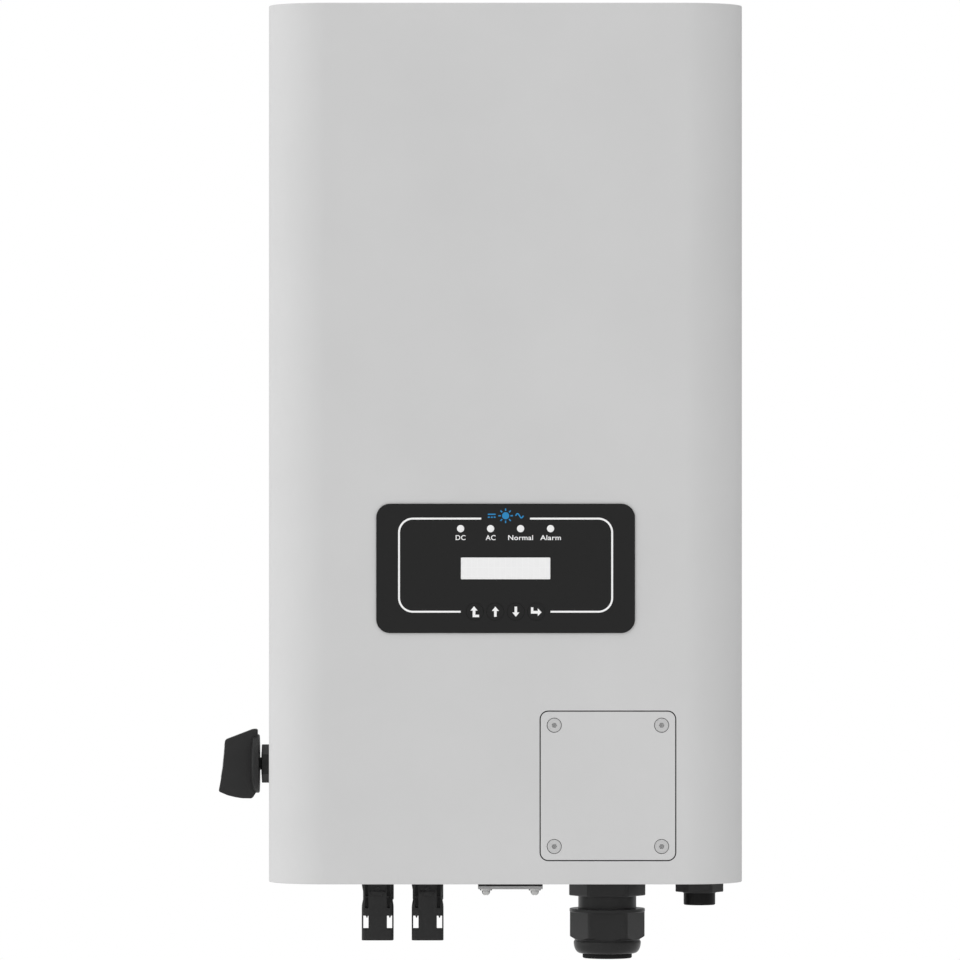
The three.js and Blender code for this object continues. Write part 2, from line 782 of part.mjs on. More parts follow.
// Housing with a core inside a hollow and a latch window at each side.
function plusConnector() {
  const foot = roundedRectangle(connectorWidth, connectorDepth, connectorRadius);
  const waist = roundedRectangle(
    connectorWidth - 2 * waistDepth, connectorDepth - 2 * waistDepth, connectorRadius - waistDepth,
  );
  const sideWall = 0.6;
  const frontWall = 1.6;
  const hollowTop = 22;
  const windowTop = 23.3;
  const windowBottom = 32.2;
  const hollow = prism(
    roundedRectangle(
      connectorWidth - 2 * sideWall, connectorDepth - 2 * frontWall, connectorRadius - 1,
    ),
    hollowTop, connectorLength + 1, [circle(coreDiameter)],
  );
  const windows = [-1, 1].map((side) => {
    const inner = side * (coreDiameter / 2 + 0.05);
    const outer = side * (connectorWidth / 2 - sideWall);
    return block(
      Math.min(inner, outer), Math.max(inner, outer),
      -connectorDepth, connectorDepth, windowTop, windowBottom,
    );
  });
  const body = joined(
    prism(foot, fit, 9.6), prism(waist, 9, 20), prism(foot, 19.5, connectorLength),
    connectorThreadPiece(),
  );
  return cut(
    body, hollow, ...windows, cylinder(6, connectorLength - 15, connectorLength + 1, 0, 0, 20),
    cylinder(coreDiameter, connectorLength - 1.5, connectorLength + 1),
  );
}

// Foot with a slotted nose and a latch arm at each side of it.
function minusConnector() {
  const footHeight = 15.3;
  const armReach = 7.25;
  const armThickness = 1.4;
  const armLength = 11.3;
  const armHalfDepth = 3;
  const foot = prism(
    roundedRectangle(connectorWidth, connectorDepth, connectorRadius), fit, footHeight,
  );
  const arms = [-1, 1].map((side) => {
    const outline = [
      [-armThickness / 2, footHeight - 1],
      [armThickness / 2, footHeight - 1],
      [armThickness / 2, footHeight + armLength - 2],
      [0, footHeight + armLength],
      [-armThickness / 2, footHeight + armLength - 2],
    ].map(([x, z]) => new THREE.Vector2(side * armReach + x, z));
    return prism(outline, -armHalfDepth, armHalfDepth).rotateX(Math.PI / 2);
  });
  const nose = cylinder(noseDiameter, footHeight - 1, connectorLength - 6);
  return cut(
    joined(foot, nose, ...arms, connectorThreadPiece()),
    cylinder(5, connectorLength - 21, connectorLength, 0, 0, 20),
  );
}

const innerNut = (thread, height = innerNutHeight) =>
  prism(
    hexagon(thread + 2 * innerNutWall), -plateThickness - fit - height, -plateThickness - fit,
    [circle(thread + 2 * fit)],
  );

Object.entries(connectorPlaces).forEach(([name, [x, y]]) => {
  const connector = name.includes("plus") ? plusConnector() : minusConnector();
  const nut = innerNut(connectorThread);
  const nutName = name.replace("connector", "locknut");
  add(name, connector, blackPolyamide, underside).position.set(x, y, 0);
  add(nutName, nut, blackPolyamide, underside).position.set(x, y, 0);
});

// ---------- Communications cover ----------

const commsOutline = roundedRectangle(commsWidth, commsDepth, commsRadius, commsX, commsY);
const commsCoverBack = commsGasketThickness + 2 * fit;
const commsCoverFront = commsCoverBack + commsCoverThickness;
const commsScrewHoles = () =>
  commsScrewPlaces.map(([x, y]) => circle(commsScrewDiameter + 2 * fit, x, y, 12));

const commsGasket = () =>
  prism(commsOutline, fit, fit + commsGasketThickness, [commsOpening(), ...commsScrewHoles()]);

const commsCover = () => prism(commsOutline, commsCoverBack, commsCoverFront, commsScrewHoles());

// Domed head on a captive washer, with a plain shank.
function commsScrew() {
  const back = commsCoverFront + fit;
  const head = commsScrewHead / 2;
  const shank = commsScrewDiameter / 2;
  return turned(
    [
      [0, back - commsScrewLength],
      [shank, back - commsScrewLength],
      [shank, back],
      [commsScrewWasher / 2, back],
      [commsScrewWasher / 2, back + 0.8],
      [head, back + 0.8],
      [head, back + commsScrewHeight - 1.5],
      [head - 0.6, back + commsScrewHeight - 0.5],
      [head - 1.5, back + commsScrewHeight],
      [0, back + commsScrewHeight],
    ],
    12,
  );
}

// A socket block that bridges the opening behind the cover, with its mouth towards the cover.
function commsSocket() {
  const around = (width, depth, from, to) =>
    block(
      commsX - width / 2, commsX + width / 2, commsY - depth / 2, commsY + depth / 2, from, to,
    );
  const top = -plateThickness - fit;
  const width = commsWidth - 2 * commsOpeningInset + 6;
  return cut(
    around(width, 20, top - 16, top),
    around(12, 10, top - 12, top + 1),
  );
}

add("comms_gasket", commsGasket(), blackRubber, underside);
add("comms_cover", commsCover(), zincSteel, underside);
commsScrewPlaces.forEach(([x, y], index) => {
  add(`comms_screw_${index + 1}`, commsScrew(), zincSteel, underside).position.set(x, y, 0);
});
add("comms_socket", commsSocket(), blackPolyamide, underside);

// ---------- Cable gland ----------

const neckEnd = 34;
const glandNutBottom = glandNutTop + glandNutHeight;
const glandSegments = 30;

function glandBody() {
  return cut(
    joined(
      prism(hexagon(glandFlangeFlats, hexCornerRadius), fit, fit + glandFlangeHeight),
      cylinder(glandNeck, fit + glandFlangeHeight - 1, neckEnd, 0, 0, glandSegments),
      cylinder(glandThread, -plateThickness - 14, 2),
    ),
    cylinder(glandBore, -plateThickness - 15, neckEnd + 1),
  );
}

// Rubber insert squeezed between the neck and the dome, with the cable's bore.
function glandSeal() {
  const collarTop = neckEnd + fit;
  const collarBottom = glandNutBottom - 2.5;
  const seal = glandSealDiameter / 2;
  return turned([
    [glandCableBore / 2, collarTop],
    [glandBore / 2 - fit, neckEnd - 12],
    [glandBore / 2 - fit, collarTop],
    [seal + 1.8, collarTop],
    [seal + 1.8, collarBottom - fit],
    [seal, collarBottom - fit],
    [seal, glandNutBottom + 2.8],
    [glandCableBore / 2, glandNutBottom + 2.8],
  ]);
}

// A hexagon chamfered at both ends that runs into a round dome.
function glandNut() {
  const corner = acrossCorners(glandNutFlats) / 2;
  const hexBottom = glandNutBottom - 9;
  const dome = glandDomeDiameter / 2;
  const mouth = glandSealDiameter / 2 + fit;
  const hex = common(
    prism(hexagon(glandNutFlats, hexCornerRadius), glandNutTop, hexBottom),
    turned(
      [
        [0, glandNutTop],
        [corner - 2.2, glandNutTop],
        [corner, glandNutTop + 2],
        [corner, hexBottom - 2.4],
        [dome - 1, hexBottom],
        [0, hexBottom],
      ],
      glandSegments,
    ),
  );
  const rounding = glandNutBottom - hexBottom - 1.5;
  const quarter = [0, 16, 32, 48, 64, 80].map((degrees) => {
    const angle = THREE.MathUtils.degToRad(degrees);
    return [
      mouth + (dome - mouth) * Math.cos(angle),
      glandNutBottom - rounding + rounding * Math.sin(angle),
    ];
  });
  const domePiece = turned(
    [
      [0, hexBottom - 1],
      [dome - 1, hexBottom - 1],
      [dome - 1, hexBottom],
      ...quarter,
      [0, glandNutBottom],
    ],
    glandSegments,
  );
  return cut(
    joined(hex, domePiece),
    cylinder(glandNeck + 2 * fit, glandNutTop - 1, glandNutBottom - 2.5, 0, 0, glandSegments),
    cylinder(2 * mouth, glandNutBottom - 5, glandNutBottom + 1, 0, 0, glandSegments),
  );
}

const glandPlace = [glandX, -connectionsY, 0];
add("gland_body", glandBody(), blackPolyamide, underside).position.set(...glandPlace);
add("gland_locknut", innerNut(glandThread, 7), blackPolyamide, underside)
  .position.set(...glandPlace);
add("gland_seal", glandSeal(), blackRubber, underside).position.set(...glandPlace);
add("gland_nut", glandNut(), blackPolyamide, underside).position.set(...glandPlace);

// ---------- Communications port ----------

const portFloor = 6;

function portBody() {
  const flangeEnd = fit + portFlangeHeight;
  return cut(
    joined(
      prism(hexagon(portFlangeFlats, 1), fit, flangeEnd),
      cylinder(portDiameter + 1.2, flangeEnd - 1, flangeEnd + 0.6),
      cylinder(portDiameter, flangeEnd - 1, portLength),
      cylinder(portThread, -plateThickness - 11, 2),
    ),
    cylinder(portBore, portFloor, portLength + 1),
    cylinder(portThread - 6, -plateThickness - 12, portFloor + 1),
  );
}

function portInsert() {
  const pinCircle = portBore / 2 - 3.4;
  const pins = Array.from({ length: portPins }, (_, index) => {
    const angle = (2 * Math.PI * index) / portPins;
    const [x, y] = [pinCircle * Math.cos(angle), pinCircle * Math.sin(angle)];
    return cylinder(1.6, portFloor + 2, portLength - 3, x, y, 8);
  });
  return joined(cylinder(portBore - 2 * fit, portFloor + fit, portFloor + 4), ...pins);
}

const portPlace = [portX, -connectionsY, 0];
add("port_body", portBody(), portPlastic, underside).position.set(...portPlace);
add("port_locknut", innerNut(portThread), zincSteel, underside).position.set(...portPlace);
add("port_insert", portInsert(), portPlastic, underside).position.set(...portPlace);

// ---------- Electronics inside ----------

const partsBack = -powerBoardFrontY + fit;

// The main board, notched where the switch reaches in from the side.
function powerBoard() {
  const notchEdge = -bodyWidth / 2 + shellWall + switchBodyDepth + boardClearance;
  const notchHalf = switchBodySize / 2 + boardClearance;
  const switchZ = bottom + switchRise;
  return cut(
    prism(
      roundedRectangle(powerBoardWidth, powerBoardHeight, 4), -powerBoardRearY, -powerBoardFrontY,
    ),
    block(
      -bodyWidth / 2, notchEdge, switchZ - notchHalf, switchZ + notchHalf,
      -powerBoardRearY - 1, -powerBoardFrontY + 1,
    ),
  );
}

// Screw terminals for the alternating-current cable, straight behind the terminal cover.
function terminalBlock() {
  const pitch = (terminalBlockWidth - 4) / terminalPoles;
  const poles = Array.from({ length: terminalPoles }, (_, index) => {
    return coverX + (index - (terminalPoles - 1) / 2) * pitch;
  });
  const low = coverZ + 6 - terminalBlockHeight / 2;
  const high = low + terminalBlockHeight;
  const front = partsBack + terminalBlockDepth;
  const half = terminalBlockWidth / 2;
  return cut(
    block(coverX - half, coverX + half, low, high, partsBack, front),
    ...poles.map((x) => block(x - 4, x + 4, low - 1, low + 14, front - 18, front - 8)),
    ...poles.map((x) => cylinder(7, front - 6, front + 1, x, high - 8, 12)),
  );
}

// Electrolytic capacitors in two rows on one footing.
function capacitorBank() {
  const rows = [-0.5, 0.5].flatMap((row) =>
    [-1.5, -0.5, 0.5, 1.5].map((column) => [column * capacitorPitch, row * capacitorPitch]),
  );
  const cans = rows.map(([x, y]) =>
    cylinder(capacitorDiameter, partsBack + 2, partsBack + 4 + capacitorLength, x, y, 12),
  );
  const footing = prism(
    roundedRectangle(4 * capacitorPitch, 2 * capacitorPitch, 4), partsBack, partsBack + 4,
  );
  return joined(footing, ...cans);
}

const inductor = () =>
  turned([
    [inductorBore / 2, partsBack + 3],
    [inductorBore / 2 + 3, partsBack],
    [inductorDiameter / 2 - 3, partsBack],
    [inductorDiameter / 2, partsBack + 3],
    [inductorDiameter / 2, partsBack + inductorHeight - 3],
    [inductorDiameter / 2 - 3, partsBack + inductorHeight],
    [inductorBore / 2 + 3, partsBack + inductorHeight],
    [inductorBore / 2, partsBack + inductorHeight - 3],
  ]);

const upperRow = powerBoardHeight / 2 - inductorDiameter / 2 - 25;
const middleRow = upperRow - inductorDiameter / 2 - capacitorPitch - 12;
add("power_board", powerBoard(), circuitBoard, wallSide);
add("terminal_block", terminalBlock(), greyPlastic, wallSide);
add("capacitor_bank", capacitorBank(), capacitorSleeve, wallSide).position.set(0, middleRow, 0);
[-1, 1].forEach((side, index) => {
  add(`inductor_${index + 1}`, inductor(), copperWinding, wallSide)
    .position.set((side * inductorSpacing) / 2, upperRow, 0);
});

export default inverter;
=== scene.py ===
import math

import bmesh
import bpy
from mathutils import Matrix, Vector


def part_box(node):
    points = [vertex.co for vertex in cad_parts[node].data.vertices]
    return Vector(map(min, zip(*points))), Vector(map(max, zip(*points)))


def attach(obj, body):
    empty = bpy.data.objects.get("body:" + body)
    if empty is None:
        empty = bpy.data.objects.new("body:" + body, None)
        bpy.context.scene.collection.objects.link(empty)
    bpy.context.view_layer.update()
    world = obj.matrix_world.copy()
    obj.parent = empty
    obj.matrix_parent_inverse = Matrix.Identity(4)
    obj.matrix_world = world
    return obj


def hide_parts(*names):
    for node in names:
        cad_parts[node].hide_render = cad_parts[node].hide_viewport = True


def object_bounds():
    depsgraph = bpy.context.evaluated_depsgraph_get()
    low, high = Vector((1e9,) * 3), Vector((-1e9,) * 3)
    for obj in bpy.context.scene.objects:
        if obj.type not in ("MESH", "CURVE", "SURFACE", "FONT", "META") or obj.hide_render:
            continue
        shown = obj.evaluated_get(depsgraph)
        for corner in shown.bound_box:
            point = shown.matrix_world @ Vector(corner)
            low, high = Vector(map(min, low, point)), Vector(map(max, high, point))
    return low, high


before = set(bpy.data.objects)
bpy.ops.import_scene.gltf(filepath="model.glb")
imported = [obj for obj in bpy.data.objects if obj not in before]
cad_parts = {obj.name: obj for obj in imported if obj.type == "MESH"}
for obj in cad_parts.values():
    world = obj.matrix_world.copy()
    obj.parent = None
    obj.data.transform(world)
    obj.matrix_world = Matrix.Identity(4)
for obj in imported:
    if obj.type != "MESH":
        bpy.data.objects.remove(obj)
cad_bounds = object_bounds()

# ---------- Camera, light and floor ----------
# A long lens squarely in front of the cabinet, and a white room that is brighter on the left, in
# front, above and below. A large weak light lifts the left edge. The floor is plain and pale.

scene = bpy.context.scene
scene.view_settings.view_transform = "Standard"

camera = bpy.data.objects.new("camera", bpy.data.cameras.new("camera"))
camera.data.sensor_width = 36.0
camera.data.lens = 290.7
camera.location = (-0.01585, -4.990, -0.02258)
camera.rotation_euler = (math.radians(90), 0, 0)
scene.collection.objects.link(camera)
scene.camera = camera


def linear(hex_color):
    """The linear colour of an sRGB hex value."""
    parts = [int(hex_color[i : i + 2], 16) / 255 for i in (1, 3, 5)]
    return [p / 12.92 if p <= 0.04045 else ((p + 0.055) / 1.055) ** 2.4 for p in parts] + [1.0]


def add_node(tree, kind, inputs=None, ramp=None, **settings):
    """Adds a node with its settings; each input takes a value or a link from a socket.

    A colour ramp takes its two stops as hex colours at their positions.
    """
    node = tree.nodes.new(kind)
    for setting, value in settings.items():
        setattr(node, setting, value)
    if ramp:
        for stop, (position, hex_color) in zip(node.color_ramp.elements, ramp.items()):
            stop.position, stop.color = position, linear(hex_color)
    for key, value in (inputs or {}).items():
        if isinstance(value, bpy.types.NodeSocket):
            tree.links.new(value, node.inputs[key])
        else:
            node.inputs[key].default_value = value
    return node


# The room brightens evenly towards the left and front, and also towards its ceiling and floor.
# The camera sees it plain white.
bright_side, room_bright, room_dim = (-0.906, -0.423, 0.0), 1.07, 0.34
ceiling_gain = 0.5
world = bpy.data.worlds.new("white_room")
scene.world = world
world.use_nodes = True
world.node_tree.nodes.clear()
directions = add_node(world.node_tree, "ShaderNodeTexCoord")
towards = add_node(world.node_tree, "ShaderNodeVectorMath", {
    0: directions.outputs["Generated"], 1: bright_side}, operation="DOT_PRODUCT")
brightness = add_node(world.node_tree, "ShaderNodeMapRange", {
    "Value": towards.outputs["Value"], "From Min": -1.0, "To Min": room_dim,
    "To Max": room_bright})
axes = add_node(world.node_tree, "ShaderNodeSeparateXYZ", {
    "Vector": directions.outputs["Generated"]})
steep = add_node(world.node_tree, "ShaderNodeMath", {
    0: axes.outputs["Z"], 1: axes.outputs["Z"]}, operation="MULTIPLY")
level = add_node(world.node_tree, "ShaderNodeMath", {
    0: steep.outputs[0], 1: ceiling_gain, 2: brightness.outputs[0]}, operation="MULTIPLY_ADD")
room = add_node(world.node_tree, "ShaderNodeBackground", {"Strength": level.outputs[0]})
backdrop = add_node(world.node_tree, "ShaderNodeBackground", {"Strength": 1.0})
for background in (room, backdrop):
    background.inputs["Color"].default_value = linear("#ffffff")
rays = add_node(world.node_tree, "ShaderNodeLightPath")
seen = add_node(world.node_tree, "ShaderNodeMixShader", {
    0: rays.outputs["Is Camera Ray"], 1: room.outputs[0], 2: backdrop.outputs[0]})
add_node(world.node_tree, "ShaderNodeOutputWorld", {"Surface": seen.outputs[0]})

key = bpy.data.objects.new("soft_key", bpy.data.lights.new("soft_key", "AREA"))
key.data.shape = "SQUARE"
key.data.size = 2.2
key.data.energy = 11.0
key_from = Vector((-3.4, -0.4, 0.35))
key.location = key_from
key.rotation_euler = (-key_from).to_track_quat("-Z", "Y").to_euler()
scene.collection.objects.link(key)


def new_material(name):
    """An empty node material, its tree, and the Object coordinates of what wears it."""
    made = bpy.data.materials.new(name)
    made.use_nodes = True
    made.node_tree.nodes.clear()
    place = add_node(made.node_tree, "ShaderNodeTexCoord").outputs["Object"]
    return made, made.node_tree, place


def shade(tree, **inputs):
    """Ends a material's tree in one surface shader."""
    named = {key.replace("_", " "): value for key, value in inputs.items()}
    surface = add_node(tree, "ShaderNodeBsdfPrincipled", named)
    add_node(tree, "ShaderNodeOutputMaterial", {"Surface": surface.outputs[0]})


# Painted floor: pale, matt, with a faint cloudiness a hand wide.
floor_paint, tree, place = new_material("Matt floor paint, pale")
clouds = add_node(tree, "ShaderNodeTexNoise", {"Vector": place, "Scale": 9.0, "Detail": 2.0})
tint = add_node(tree, "ShaderNodeValToRGB", {"Fac": clouds.outputs["Fac"]},
                ramp={0.0: "#ececec", 1.0: "#f1f1f1"})
shade(tree, Base_Color=tint.outputs["Color"], Roughness=0.9)

floor_drop = 0.4
floor_sides, floor_before, floor_behind = 12.0, 20.0, 5.8
floor_mesh = bpy.data.meshes.new("floor")
floor_z = cad_bounds[0].z - floor_drop
floor_mesh.from_pydata(
    [(x, y, floor_z) for x, y in (
        (-floor_sides, -floor_before), (floor_sides, -floor_before),
        (floor_sides, floor_behind), (-floor_sides, floor_behind))],
    [], [(0, 1, 2, 3)])
floor_mesh.materials.append(floor_paint)
floor = bpy.data.objects.new("floor", floor_mesh)
scene.collection.objects.link(floor)

# ---------- Cabinet shell ----------
# One folded aluminium sheet, 2.5 mm thick, that wraps round the front and both sides on a wide
# bend. It is chromated and powder coated in light grey, and screwed to the end plates' tabs.

MM = 0.001


def box_mm(node):
    """Lowest and highest corners of a CAD node, in millimetres."""
    return tuple(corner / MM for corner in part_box(node))


def centre(node):
    """Middle of a CAD node's box, in millimetres."""
    return tuple((low + high) / 2 for low, high in zip(*box_mm(node)))


def arc(x, y, radius, start, end, steps):
    angles = [math.radians(start + (end - start) * i / steps) for i in range(steps + 1)]
    return [(x + radius * math.cos(a), y + radius * math.sin(a)) for a in angles]


def circle(diameter, x=0.0, y=0.0, steps=48):
    return arc(x, y, diameter / 2, 0, 360, steps)[:-1]


def rounded_rectangle(width, height, radius, x=0.0, y=0.0, steps=8):
    dx, dy = width / 2 - radius, height / 2 - radius
    corners = ((dx, dy, 0), (-dx, dy, 90), (-dx, -dy, 180), (dx, -dy, 270))
    return [p for cx, cy, a in corners for p in arc(x + cx, y + cy, radius, a, a + 90, steps)]


def wound(loop, counterclockwise=True):
    """The loop with no doubled points, wound the way that is asked for."""
    points = [Vector(p) for i, p in enumerate(loop) if math.dist(p, loop[i - 1]) > 1e-4]
    area = sum(points[i - 1].cross(p) for i, p in enumerate(points))
    return points if (area > 0) == counterclockwise else points[::-1]


def drawn_in(points, distance):
    """The loop moved to the left of its own direction, which is into the material."""
    moved = []
    for i, point in enumerate(points):
        before = (point - points[i - 1]).normalized()
        after = (points[(i + 1) % len(points)] - point).normalized()
        n1, n2 = Vector((-before.y, before.x)), Vector((-after.y, after.x))
        moved.append(point + (n1 + n2) * (distance / max(1 + n1.dot(n2), 0.3)))
    return moved


def slab(outline, low, high, edge=0.4, holes=(), steps=3):
    """A flat outline drawn out along Z between two heights, with every edge rounded."""
    bm = bmesh.new()
    turns = [math.radians(90 * i / steps) for i in range(steps + 1)]
    rise = [(edge * (1 - math.sin(t)), low + edge * (1 - math.cos(t))) for t in turns]
    rise = rise if edge else [(0.0, low)]
    fall = [(inset, high + low - z) for inset, z in reversed(rise)]
    loops = [wound(outline)] + [wound(hole, False) for hole in holes]
    caps = ([], [])
    for loop in loops:
        rings = []
        for inset, z in rise + fall:
            ring = drawn_in(loop, inset) if inset > 1e-6 else loop
            rings.append([bm.verts.new((p.x, p.y, z)) for p in ring])
        for under, over in zip(rings, rings[1:]):
            for i in range(len(loop)):
                bm.faces.new((under[i - 1], under[i], over[i], over[i - 1]))
        caps[0].append(rings[0])
        caps[1].append(rings[-1])
    for cap in caps:
        if len(cap) == 1:
            bm.faces.new(cap[0])
        else:
            rims = [bm.edges.get((ring[i - 1], ring[i])) for ring in cap for i in range(len(ring))]
            bmesh.ops.triangle_fill(bm, use_beauty=True, edges=rims)
    bmesh.ops.recalc_face_normals(bm, faces=bm.faces)
    return bm


def as_object(bm, name="blank"):
    mesh = bpy.data.meshes.new(name)
    bm.to_mesh(mesh)
    bm.free()
    made = bpy.data.objects.new(name, mesh)
    scene.collection.objects.link(made)
    return made


def discard(made):
    mesh = made.data
    bpy.data.objects.remove(made)
    bpy.data.meshes.remove(mesh)


def carved(bm, *tools, operation="DIFFERENCE"):
    """Cuts closed solids out of another, or keeps what they share, or joins them."""
    subject = as_object(bm)
    cutters = [as_object(tool) for tool in tools]
    for cutter in cutters:
        step = subject.modifiers.new("carve", "BOOLEAN")
        step.operation, step.solver, step.object = operation, "EXACT", cutter
    result = bmesh.new()
    result.from_object(subject, bpy.context.evaluated_depsgraph_get())
    for used in [subject, *cutters]:
        discard(used)
    bmesh.ops.remove_doubles(result, verts=result.verts, dist=1e-4)
    return result


def together(*parts):
    """Several closed solids as one mesh."""
    whole = bmesh.new()
    for part in parts:
        mesh = bpy.data.meshes.new("part")
        part.to_mesh(mesh)
        part.free()
        whole.from_mesh(mesh)
        bpy.data.meshes.remove(mesh)
    return whole


def moved(bm, matrix):
    bmesh.ops.transform(bm, matrix=matrix, verts=bm.verts)
    return bm


def finished(made, material, edge=0.0, smooth=35.0, edge_angle=40.0):
    """Rounds the edges that are still sharp, smooths the shading and applies the finish."""
    if edge:
        rounding = made.modifiers.new("edges", "BEVEL")
        rounding.width, rounding.segments = edge * MM, 2
        rounding.limit_method, rounding.angle_limit = "ANGLE", math.radians(edge_angle)
        rounding.use_clamp_overlap = True
    merging = made.modifiers.new("merging", "WELD")
    merging.merge_threshold = 0.003 * MM
    made.data.shade_smooth()
    made.data.set_sharp_from_angle(angle=math.radians(smooth))
    shading = made.modifiers.new("shading", "WEIGHTED_NORMAL")
    shading.keep_sharp = True
    graph = bpy.context.evaluated_depsgraph_get()
    baked = bpy.data.meshes.new_from_object(made.evaluated_get(graph))
    made.modifiers.clear()
    made.data = baked
    baked.materials.clear()
    baked.materials.append(material)
    return made


def ridden(made, material, slot, body="cabinet", replaced=(), **finish):
    """Finishes a piece and puts it on its body, in place of the CAD nodes it stands for."""
    finished(made, material, **finish)
    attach(made, body)
    if replaced:
        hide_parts(*replaced)


def piece(name, bm, material, slot, at=None, **fit):
    """A named piece, drawn in millimetres and then moved to its place."""
    if at is not None:
        moved(bm, at)
    moved(bm, Matrix.Scale(MM, 4))
    ridden(as_object(bm, name), material, slot, **fit)


def out_of_front(y=0.0, x=0.0, z=0.0):
    """Local Z points out of the front, local Y up."""
    return Matrix(((1, 0, 0, x), (0, 0, -1, y), (0, 1, 0, z), (0, 0, 0, 1)))


def out_of_left(x, y, z):
    """Local Z points out of the left side, local X up."""
    return Matrix(((0, 0, -1, x), (0, 1, 0, y), (1, 0, 0, z), (0, 0, 0, 1)))


def out_of_right(x, y, z):
    """Local Z points out of the right side, local X down."""
    return Matrix(((0, 0, 1, x), (0, 1, 0, y), (-1, 0, 0, z), (0, 0, 0, 1)))


def out_of_bottom(x, y, z):
    """Local Z points down, local Y to the front."""
    return Matrix(((1, 0, 0, x), (0, -1, 0, y), (0, 0, -1, z), (0, 0, 0, 1)))


# Polyester powder coat on aluminium sheet, sprayed and baked: even light grey with a satin sheen
# and a shallow orange peel. The peel is drawn 1.6 mm wide, twice its real size, so that it shows.
powder_coat, tree, place = new_material("Powder coat, satin light grey")
peel = add_node(tree, "ShaderNodeTexNoise", {
    "Vector": place, "Scale": 1 / (1.6 * MM), "Detail": 2.0, "Roughness": 0.45})
haze = add_node(tree, "ShaderNodeTexNoise", {
    "Vector": place, "Scale": 1 / (70 * MM), "Detail": 3.0})
grey = add_node(tree, "ShaderNodeValToRGB", {"Fac": haze.outputs["Fac"]},
                ramp={0.3: "#d2d2d2", 0.7: "#d5d5d5"})
gloss = add_node(tree, "ShaderNodeMapRange", {
    "Value": haze.outputs["Fac"], "To Min": 0.54, "To Max": 0.62})
bumps = add_node(tree, "ShaderNodeBump", {
    "Height": peel.outputs["Fac"], "Strength": 0.22, "Distance": 0.06 * MM})
shade(tree, Base_Color=grey.outputs["Color"], Roughness=gloss.outputs[0],
      Normal=bumps.outputs["Normal"], Specular_IOR_Level=0.2)

shell_low, shell_high = box_mm("front_shell")
cover_low, cover_high = box_mm("terminal_cover")
bend_radius, bend_steps = 36.0, 40
shell_wall, shell_edge = 2.5, 0.6
cover_x, _, cover_z = centre("terminal_cover")
cover_joint, cover_trim = 0.7, 0.5
cover_corner = 4.7
cover_width = cover_high.x - cover_low.x - 2 * cover_trim
cover_height = cover_high.z - cover_low.z - 2 * cover_trim
plate_inset, plate_thickness = 1.0, 4.0
tab_low = box_mm("top_plate")[0]
tab_clearance = 8
tab_ends = (shell_low.y + bend_radius + tab_clearance, box_mm("bottom_plate")[1].y - tab_clearance)
side_screw_head, side_screw_gap = 8.4, 0.35
side_screw_rise = (tab_low.z + shell_high.z - plate_inset - plate_thickness) / 2
side_screw_places = [
    (tab_ends[0] + (tab_ends[1] - tab_ends[0]) * share, end * side_screw_rise)
    for share in (0.12, 0.5, 0.88) for end in (-1, 1)]
bush_hole = 17
_, switch_y, switch_z = centre("switch_shaft")


def cabinet_outline(inset, rear):
    """From the right rear corner round the front to the left rear corner, seen from above."""
    side, front, radius = shell_high.x - inset, shell_low.y + inset, bend_radius - inset
    return [
        (side, rear),
        *arc(side - radius, front + radius, radius, 0, -90, bend_steps),
        *arc(-side + radius, front + radius, radius, -90, -180, bend_steps),
        (-side, rear)]


cut_depth, cut_edge = 5, 0.1


def cutter(outline, at):
    """A tool that cuts an outline through a wall, from both sides of its face."""
    return moved(slab(outline, -cut_depth, cut_depth, cut_edge), at)


wall = slab(
    cabinet_outline(0, shell_high.y) + cabinet_outline(shell_wall, shell_high.y)[::-1],
    shell_low.z, shell_high.z, edge=shell_edge)
cover_opening = rounded_rectangle(
    cover_width + 2 * cover_joint, cover_height + 2 * cover_joint,
    cover_corner + cover_joint, cover_x, cover_z)
cuts = [cutter(cover_opening, out_of_front(shell_low.y)),
        cutter(circle(bush_hole), out_of_left(shell_low.x, switch_y, switch_z))]
window_low, window_high = box_mm("display_window")
key_low, key_high = box_mm("key_back")
last_key_high = box_mm("key_enter")[1]
lamp_low, lamp_high = box_mm("lamp_pipe_1")
last_lamp_high = box_mm("lamp_pipe_4")[1]
for low, high, width, margin in (
        (window_low, window_high, window_high.x - window_low.x, 0.3),
        (key_low, key_high, last_key_high.x - key_low.x, 1.0),
        (lamp_low, lamp_high, last_lamp_high.x - lamp_low.x, 1.0)):
    tall = high.z - low.z + 2 * margin
    round_end = 0.6 if margin < 1 else tall / 2 - 0.01
    slot = rounded_rectangle(width + 2 * margin, tall, round_end, 0, (low.z + high.z) / 2)
    cuts.append(cutter(slot, out_of_front(shell_low.y)))
screw_sink, screw_proud = 1.2, 1
sunk_hole = circle(side_screw_head + 2 * side_screw_gap, steps=32)
sockets = [
    moved(slab(sunk_hole, -screw_sink, screw_proud, cut_edge), facing(x, y, z))
    for y, z in side_screw_places
    for facing, x in ((out_of_left, shell_low.x), (out_of_right, shell_high.x))]
piece("cabinet_shell", carved(wall, *cuts, together(*sockets)), powder_coat, "cabinet_paint",
      replaced=("front_shell",), edge=0.22, edge_angle=55)

# ---------- Side screws ----------
# Socket screws that hold the shell to the end plates' tabs, three at each end of each side. Their
# flat steel heads are zinc plated and sunk flush with the paint, with a dark gap round each.


